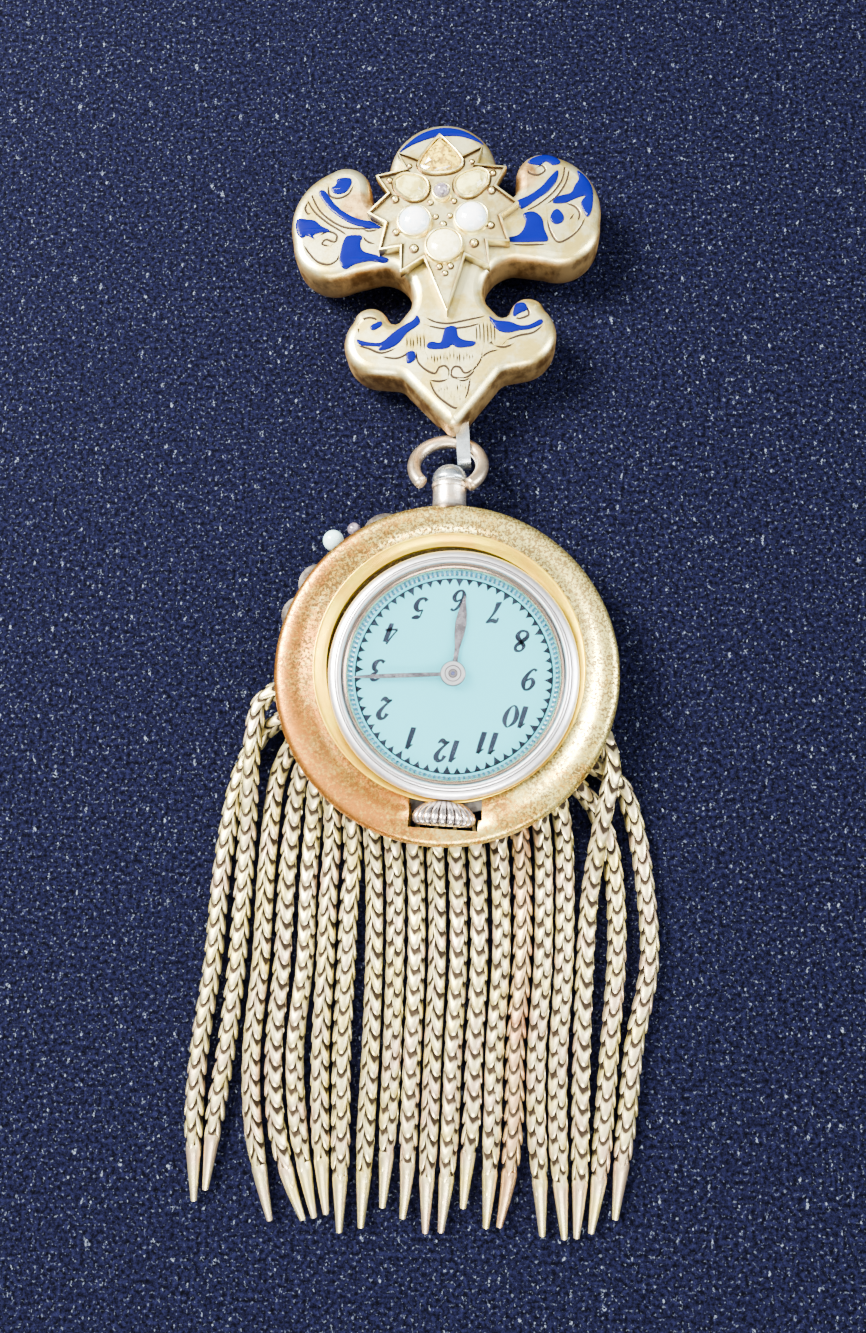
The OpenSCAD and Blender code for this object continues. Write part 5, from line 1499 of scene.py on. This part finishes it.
def make_liner():
    """The bright sloping band in the plate's opening, which stops short of the watch behind it."""
    turn = np.arange(LATHE_SIDES) * 2 * math.pi / LATHE_SIDES
    gap = np.array((WATCH.x - RECESS_AT.x, WATCH.y - RECESS_AT.y))
    along = np.stack((np.cos(turn), np.sin(turn)), 1) @ gap
    wall = along + np.sqrt(along ** 2 - gap @ gap + CASE_WALL ** 2)
    inner = np.maximum(LINER_INNER, wall)
    rings = [with_z(circle(RECESS_AT, LINER_OUTER + (inner - LINER_OUTER) * share, LATHE_SIDES), z * MM)
             for share, z in LINER_ROWS]
    build = Build()
    build.add(np.concatenate(rings), ring_faces(len(rings), LATHE_SIDES, closed=True))
    return build.finish("gold_liner", LINER, sharp=40)


def make_ribs():
    """The ribbed ring between glass and dial, which leans out towards the glass."""
    build = Build()
    sides = RIBS * POINTS_IN_RIB
    on_rib = np.arange(sides) % POINTS_IN_RIB >= POINTS_IN_RIB / 2
    rings = [with_z(circle(WATCH, (gap + (rib - gap) * on_rib) * MM, sides), z * MM)
             for gap, rib, z in RIB_ROWS]
    # The gaps between the ribs get painted shade
    gap_shade = [float(not rib) for rib in on_rib]
    build.add(np.concatenate(rings), ring_faces(len(rings), sides), gap_shade * len(rings))
    return build.finish("ribbed_ring", RIBBED, node="rehaut", sharp=30)


lathe_piece("turned_bezel", BEZEL, SILVER, "watch_bezel")
make_liner()
lathe_piece("copper_ring", COPPER_RING, COPPER)
make_ribs()
print("bezel points:", len(BEZEL))

# %% [markdown]
# The dial's numbers are upright italics with thick and thin strokes, painted
# with a fine pen. A pen stroke is a smooth line with a width at each point, so
# each digit is a few strokes in a box one high. Drawn this way they have the
# swell of hand lettering, which no ready type would match.

# %% Pen strokes
# Strokes of each digit: x, y and pen width, as shares of the number's height
DIGITS = {
    "0": [[(0.3, 0.98, 0.05), (0.1, 0.75, 0.13), (0.06, 0.4, 0.16), (0.2, 0.04, 0.07), (0.38, 0.06, 0.06),
           (0.52, 0.35, 0.14), (0.54, 0.7, 0.15), (0.4, 0.97, 0.06), (0.3, 0.98, 0.05)]],
    "1": [[(0.12, 0.78, 0.05), (0.24, 0.88, 0.07), (0.32, 1.0, 0.08)],
          [(0.33, 1.0, 0.13), (0.3, 0.5, 0.17), (0.27, 0.0, 0.17)]],
    "2": [[(0.12, 0.72, 0.14), (0.2, 0.93, 0.09), (0.38, 0.96, 0.13), (0.5, 0.75, 0.17), (0.36, 0.42, 0.1),
           (0.08, 0.08, 0.06)],
          [(0.06, 0.1, 0.06), (0.25, 0.14, 0.13), (0.42, 0.04, 0.14), (0.56, 0.18, 0.05)]],
    "3": [[(0.12, 0.76, 0.13), (0.22, 0.94, 0.08), (0.4, 0.94, 0.12), (0.46, 0.74, 0.15), (0.26, 0.54, 0.06)],
          [(0.26, 0.54, 0.06), (0.46, 0.44, 0.13), (0.48, 0.18, 0.17), (0.28, 0.02, 0.08),
           (0.08, 0.12, 0.12)]],
    "4": [[(0.36, 1.0, 0.07), (0.2, 0.62, 0.06), (0.02, 0.3, 0.06)],
          [(0.02, 0.29, 0.08), (0.3, 0.3, 0.07), (0.58, 0.33, 0.08)],
          [(0.45, 0.9, 0.15), (0.4, 0.45, 0.17), (0.36, 0.0, 0.14)]],
    "5": [[(0.2, 0.95, 0.08), (0.34, 0.92, 0.15), (0.55, 0.98, 0.07)],
          [(0.2, 0.95, 0.05), (0.14, 0.56, 0.05)],
          [(0.14, 0.56, 0.05), (0.34, 0.62, 0.1), (0.5, 0.4, 0.17), (0.42, 0.1, 0.12), (0.2, 0.02, 0.09),
           (0.06, 0.14, 0.13)]],
    "6": [[(0.52, 0.9, 0.09), (0.36, 0.97, 0.07), (0.16, 0.72, 0.12), (0.06, 0.36, 0.16), (0.18, 0.04, 0.08),
           (0.4, 0.08, 0.1), (0.5, 0.34, 0.14), (0.36, 0.54, 0.08), (0.12, 0.4, 0.06)]],
    "7": [[(0.08, 0.74, 0.06), (0.14, 0.93, 0.11), (0.32, 0.88, 0.14), (0.58, 1.0, 0.06)],
          [(0.58, 1.0, 0.05), (0.34, 0.55, 0.09), (0.24, 0.1, 0.17), (0.24, 0.0, 0.18)]],
    "8": [[(0.32, 0.52, 0.13), (0.12, 0.72, 0.12), (0.2, 0.94, 0.07), (0.42, 0.94, 0.09), (0.48, 0.74, 0.11),
           (0.3, 0.54, 0.15), (0.08, 0.3, 0.14), (0.14, 0.06, 0.08), (0.4, 0.03, 0.09), (0.52, 0.26, 0.15),
           (0.32, 0.52, 0.13)]],
    "9": [[(0.06, 0.1, 0.09), (0.22, 0.03, 0.07), (0.42, 0.28, 0.12), (0.52, 0.64, 0.16), (0.4, 0.96, 0.08),
           (0.18, 0.92, 0.1), (0.08, 0.66, 0.14), (0.22, 0.46, 0.08), (0.46, 0.6, 0.06)]],
}
# Thickness of the pen as a share of the number's height, and steps in each span
PEN, STROKE_STEPS = 1.45, 6


def pen_stroke(build, points, to_place):
    """A flat ribbon along a smooth line, with the pen's width at each point."""
    ends = np.array([points[0]] + list(points) + [points[-1]])
    line = np.array([spline(*ends[i:i + 4], k / STROKE_STEPS)
                     for i in range(len(points) - 1) for k in range(STROKE_STEPS)] + [ends[-1]])
    ahead = np.gradient(line[:, :2], axis=0)
    ahead /= np.maximum(np.linalg.norm(ahead, axis=1), 1e-9)[:, None]
    side = np.stack((-ahead[:, 1], ahead[:, 0]), 1) * PEN * line[:, 2:3] / 2
    edge = np.concatenate((line[:, :2] + side, (line[:, :2] - side)[::-1]))
    n = len(line)
    faces = [(i, i + 1, 2 * n - 2 - i, 2 * n - 1 - i) for i in range(n - 1)]
    build.add([to_place(x, y) for x, y in edge], faces)


print("strokes:", sum(len(strokes) for strokes in DIGITS.values()))

# %% [markdown]
# Twelve numbers stand upright round the dial, with a thin circle and a dark
# tooth for each minute, longer at the hours. The watch hangs upside down when
# the pin is worn, so that the wearer reads it: six is at the top here. All
# print is one flat mesh just above the dial, because ink has almost no height.

# %% Print of the dial
# Height of a number and how far it stands from the dial's middle
NUMBER_H, NUMBER_R = 1.9 * MM, 6.6 * MM
# Slant, and width and step of a digit, as shares of a number's height
SLANT, DIGIT_WIDTH, DIGIT_STEP = 0.2, 0.56, 0.52
SIX_AT = math.radians(90) + WATCH_TURN
PRINT_Z = DIAL_Z + 0.012 * MM
# The minute circle, half its line's width and its points
MINUTES_R, MINUTES_LINE, MINUTES_POINTS = 8.55 * MM, 0.06 * MM, 240


def add_number(build, number):
    """Sets a number at its hour, upright when six is at the bottom."""
    hour = SIX_AT - math.radians(30) * (number - 6)
    center = np.array((WATCH.x + NUMBER_R * math.cos(hour), WATCH.y + NUMBER_R * math.sin(hour)))
    up = np.array((-math.cos(SIX_AT), -math.sin(SIX_AT)))
    right = np.array((up[1], -up[0]))
    text = str(number)
    width = DIGIT_STEP * (len(text) - 1) + DIGIT_WIDTH
    for k, digit in enumerate(text):
        start = k * DIGIT_STEP - width / 2

        def to_place(x, y):
            flat = center + NUMBER_H * ((x + start + SLANT * (y - 0.5)) * right + (y - 0.5) * up)
            return (flat[0], flat[1], PRINT_Z)

        for stroke in DIGITS[digit]:
            pen_stroke(build, stroke, to_place)


def add_minutes(build):
    """A thin circle with a dark tooth inwards at each minute."""
    def on_dial(radius, turn):
        return (WATCH.x + radius * math.cos(turn), WATCH.y + radius * math.sin(turn), PRINT_Z)

    r, n = MINUTES_R, 2 * MINUTES_POINTS
    ring = [on_dial(radius, t) for t in np.linspace(0, 2 * math.pi, MINUTES_POINTS, endpoint=False)
            for radius in (r - MINUTES_LINE, r + MINUTES_LINE)]
    build.add(ring, [(i, i + 1, (i + 3) % n, (i + 2) % n) for i in range(0, n, 2)])
    for minute in range(60):
        t = SIX_AT + math.radians(6) * minute
        # Length of the tooth, and half its angle at the circle
        length, half_width = (0.72, 0.36) if minute % 5 == 0 else (0.56, 0.32)
        length, half = length * MM, half_width * MM / r
        points = [(r, t - half), (r, t + half), (r - 0.5 * length, t + half * 0.45), (r - length, t),
                  (r - 0.5 * length, t - half * 0.45)]
        build.add([on_dial(*point) for point in points], [(0, 1, 2, 3, 4)])


def make_print():
    build = Build()
    for number in range(1, 13):
        add_number(build, number)
    add_minutes(build)
    return build.finish("dial_print", PRINT)


dial_print = make_print()
print("faces of dial print:", len(dial_print.data.polygons))

# %% [markdown]
# The hands are thin stamped leaves with a ridge down the middle, held by a
# turned washer and a blued pin. Each hand rides on its own body, and the washer
# and pin ride on the minute hand, as on a real watch. The blades follow the
# tips of the frame's solids. Glass, dial and hidden parts keep their solids.

# %% Hands and glass
# Share of a hand's length beyond which only its blade is left, and its foot's radius
BLADE_FROM, FOOT_R = 0.6, 0.62 * MM
# A blade's section, from side to side: shares of half its width and of its height
BLADE_SECTION = ((-1, 0), (-1, 0.75), (0, 1), (1, 0.75), (1, 0))
# Share of the hand's length and half its width in millimetres
HOUR_LEAF = [(0.05, 0.32), (0.2, 0.2), (0.34, 0.22), (0.5, 0.42), (0.64, 0.5), (0.78, 0.4), (0.9, 0.2),
             (1, 0.06)]
MINUTE_LEAF = [(0.05, 0.24), (0.14, 0.16), (0.3, 0.19), (0.6, 0.2), (0.85, 0.15), (1, 0.06)]
PAINTED = {
    "dial": DIAL, "watch_glass": GLASS, "watch_case": STEEL, "brooch_back": LINER, "brooch_pin": STEEL,
    "bail_pin": STEEL,
}
# Profiles of the washer and the pin: radius, height over the minute hand, and darkness
HUB_Z = top_of("minute_hand") / MM
WASHER = [(0.0001, 0.1, 0.7), (0.3, 0.1, 0.7), (0.36, 0.02, 1), (0.42, 0.03, 0.2), (0.62, 0.05, 0.1),
          (0.66, 0.02, 0.9), (0.74, 0.12, 0.1), (1.0, 0.12, 0.1), (1.1, 0.03, 0.8), (1.1, -0.1, 1),
          (0.0001, -0.1, 1)]
PIN = [(0.0001, 0.14, 0), (0.16, 0.13, 0), (0.2, 0.05, 0), (0.0001, 0.05, 0)]
HUB_PIN = metal("blued_pin", (0.20, 0.22, 0.42), (0.12, 0.12, 0.3), 1, 0.2).material


def paint(node, material):
    """Gives a solid of the frame a material and leaves its form."""
    cad[node].data.materials.clear()
    cad[node].data.materials.append(material)


def make_hand(node, widths):
    """A leaf with a ridge down its middle, along the solid's hand, on a round foot."""
    spots = [cad[node].matrix_world @ v.co for v in cad[node].data.vertices]
    center = Vector((WATCH.x, WATCH.y, 0))
    tip = max(spots, key=lambda p: (Vector((p.x, p.y, 0)) - center).length)
    way = Vector((tip.x, tip.y, 0)) - center
    reach = way.length
    way /= reach
    side = Vector((-way.y, way.x, 0))
    blade = [p.z for p in spots if (Vector((p.x, p.y, 0)) - center).length > reach * BLADE_FROM]
    low, high = min(blade), max(blade)
    rings = []
    for share, half in widths:
        at = center + way * reach * share
        rings.append([tuple(at + side * half * MM * x + Vector((0, 0, low + (high - low) * z)))
                      for x, z in BLADE_SECTION])
    build = Build()
    build.stack(rings, flat=False)
    build.lathe([(0.0001, low), (FOOT_R, low), (FOOT_R, high), (0.0001, high)], (WATCH.x, WATCH.y), 32)
    return build.finish("leaf_" + node, HAND_STEEL, smooth=False, body=node, node=node)


def on_hub(profile):
    """A profile lifted to the top of the minute hand."""
    return [(radius, HUB_Z + rise, dark) for radius, rise, dark in profile]


make_hand("hour_hand", HOUR_LEAF)
make_hand("minute_hand", MINUTE_LEAF)
for node, material in PAINTED.items():
    paint(node, material)
lathe_piece("hub_washer", on_hub(WASHER), SILVER, sides=48, body="minute_hand")
lathe_piece("hub_pin", on_hub(PIN), HUB_PIN, sides=24, body="minute_hand")
print("hub at", round(HUB_Z, 2), "mm")

# %% [markdown]
# The crown is a small onion of steel with flutes for the fingertips, with painted shade nearly black in the
# flutes and bright steel on the ribs between. It turns about the watch's stem, so it rides on its own body. A
# round profile with a wave round it gives both the flutes and the depth value that paints shade into them.

# %% Crown
# Where the crown starts from the watch's middle, and its length
CROWN_START, CROWN_LENGTH = 10.83 * MM, 2.15 * MM
FLUTES, POINTS_IN_FLUTE, FLUTE_DEPTH = 22, 6, 1.6
# Share of the length, share of the radius, and how deep the flutes are there
CROWN_PROFILE = [(0, 0.3, 0), (0.02, 0.42, 0.02), (0.1, 0.6, 0.06), (0.28, 0.8, 0.09), (0.48, 0.94, 0.1),
                 (0.66, 1.0, 0.1), (0.84, 0.98, 0.09), (0.95, 0.9, 0.08), (1.0, 0.78, 0.05), (1.0, 0.5, 0)]


def make_crown():
    """A fluted onion crown: narrow at the stem, widest near its end."""
    build = Build()
    axis = Vector((math.sin(WATCH_TURN), -math.cos(WATCH_TURN), 0))
    side = Vector((axis.y, -axis.x, 0))
    low, high = (Vector(p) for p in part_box("crown"))
    radius = (high.z - low.z) / 2
    start = Vector((WATCH.x, WATCH.y, (low.z + high.z) / 2)) + axis * CROWN_START
    rings, depth = [], []
    for along, share, cut in CROWN_PROFILE:
        ring = []
        for t in np.linspace(0, 2 * math.pi, FLUTES * POINTS_IN_FLUTE, endpoint=False):
            groove = max(0.0, math.cos(FLUTES * t)) ** 2
            r = radius * share * (1 - cut * FLUTE_DEPTH * groove)
            out = side * math.cos(t) + Vector((0, 0, math.sin(t)))
            ring.append(tuple(start + axis * CROWN_LENGTH * along + out * r))
            # The depth in the flutes is painted shade
            depth.append(groove * min(1, cut * 12))
        rings.append(ring)
    build.stack(rings, flat=False)
    build.depth = depth
    return build.finish("fluted_crown", CROWN_METAL, body="crown", node="crown", sharp=60)


def crown_metal():
    """Steel that is even on the ribs, with painted shade nearly black in the flutes."""
    # The flutes are painted nearly black as shade
    ribs, flute_shade = (0.68, 0.61, 0.58), (0.05, 0.035, 0.03)
    shader = metal("crown_steel", ribs, ribs, 0.8, 0.22)
    shader.put("Base Color", shader.mix(shader.depth(), ribs, flute_shade))
    return shader.material


CROWN_METAL = crown_metal()
crown = make_crown()
print("crown faces:", len(crown.data.polygons))

# %% [markdown]
# All pieces are in place.
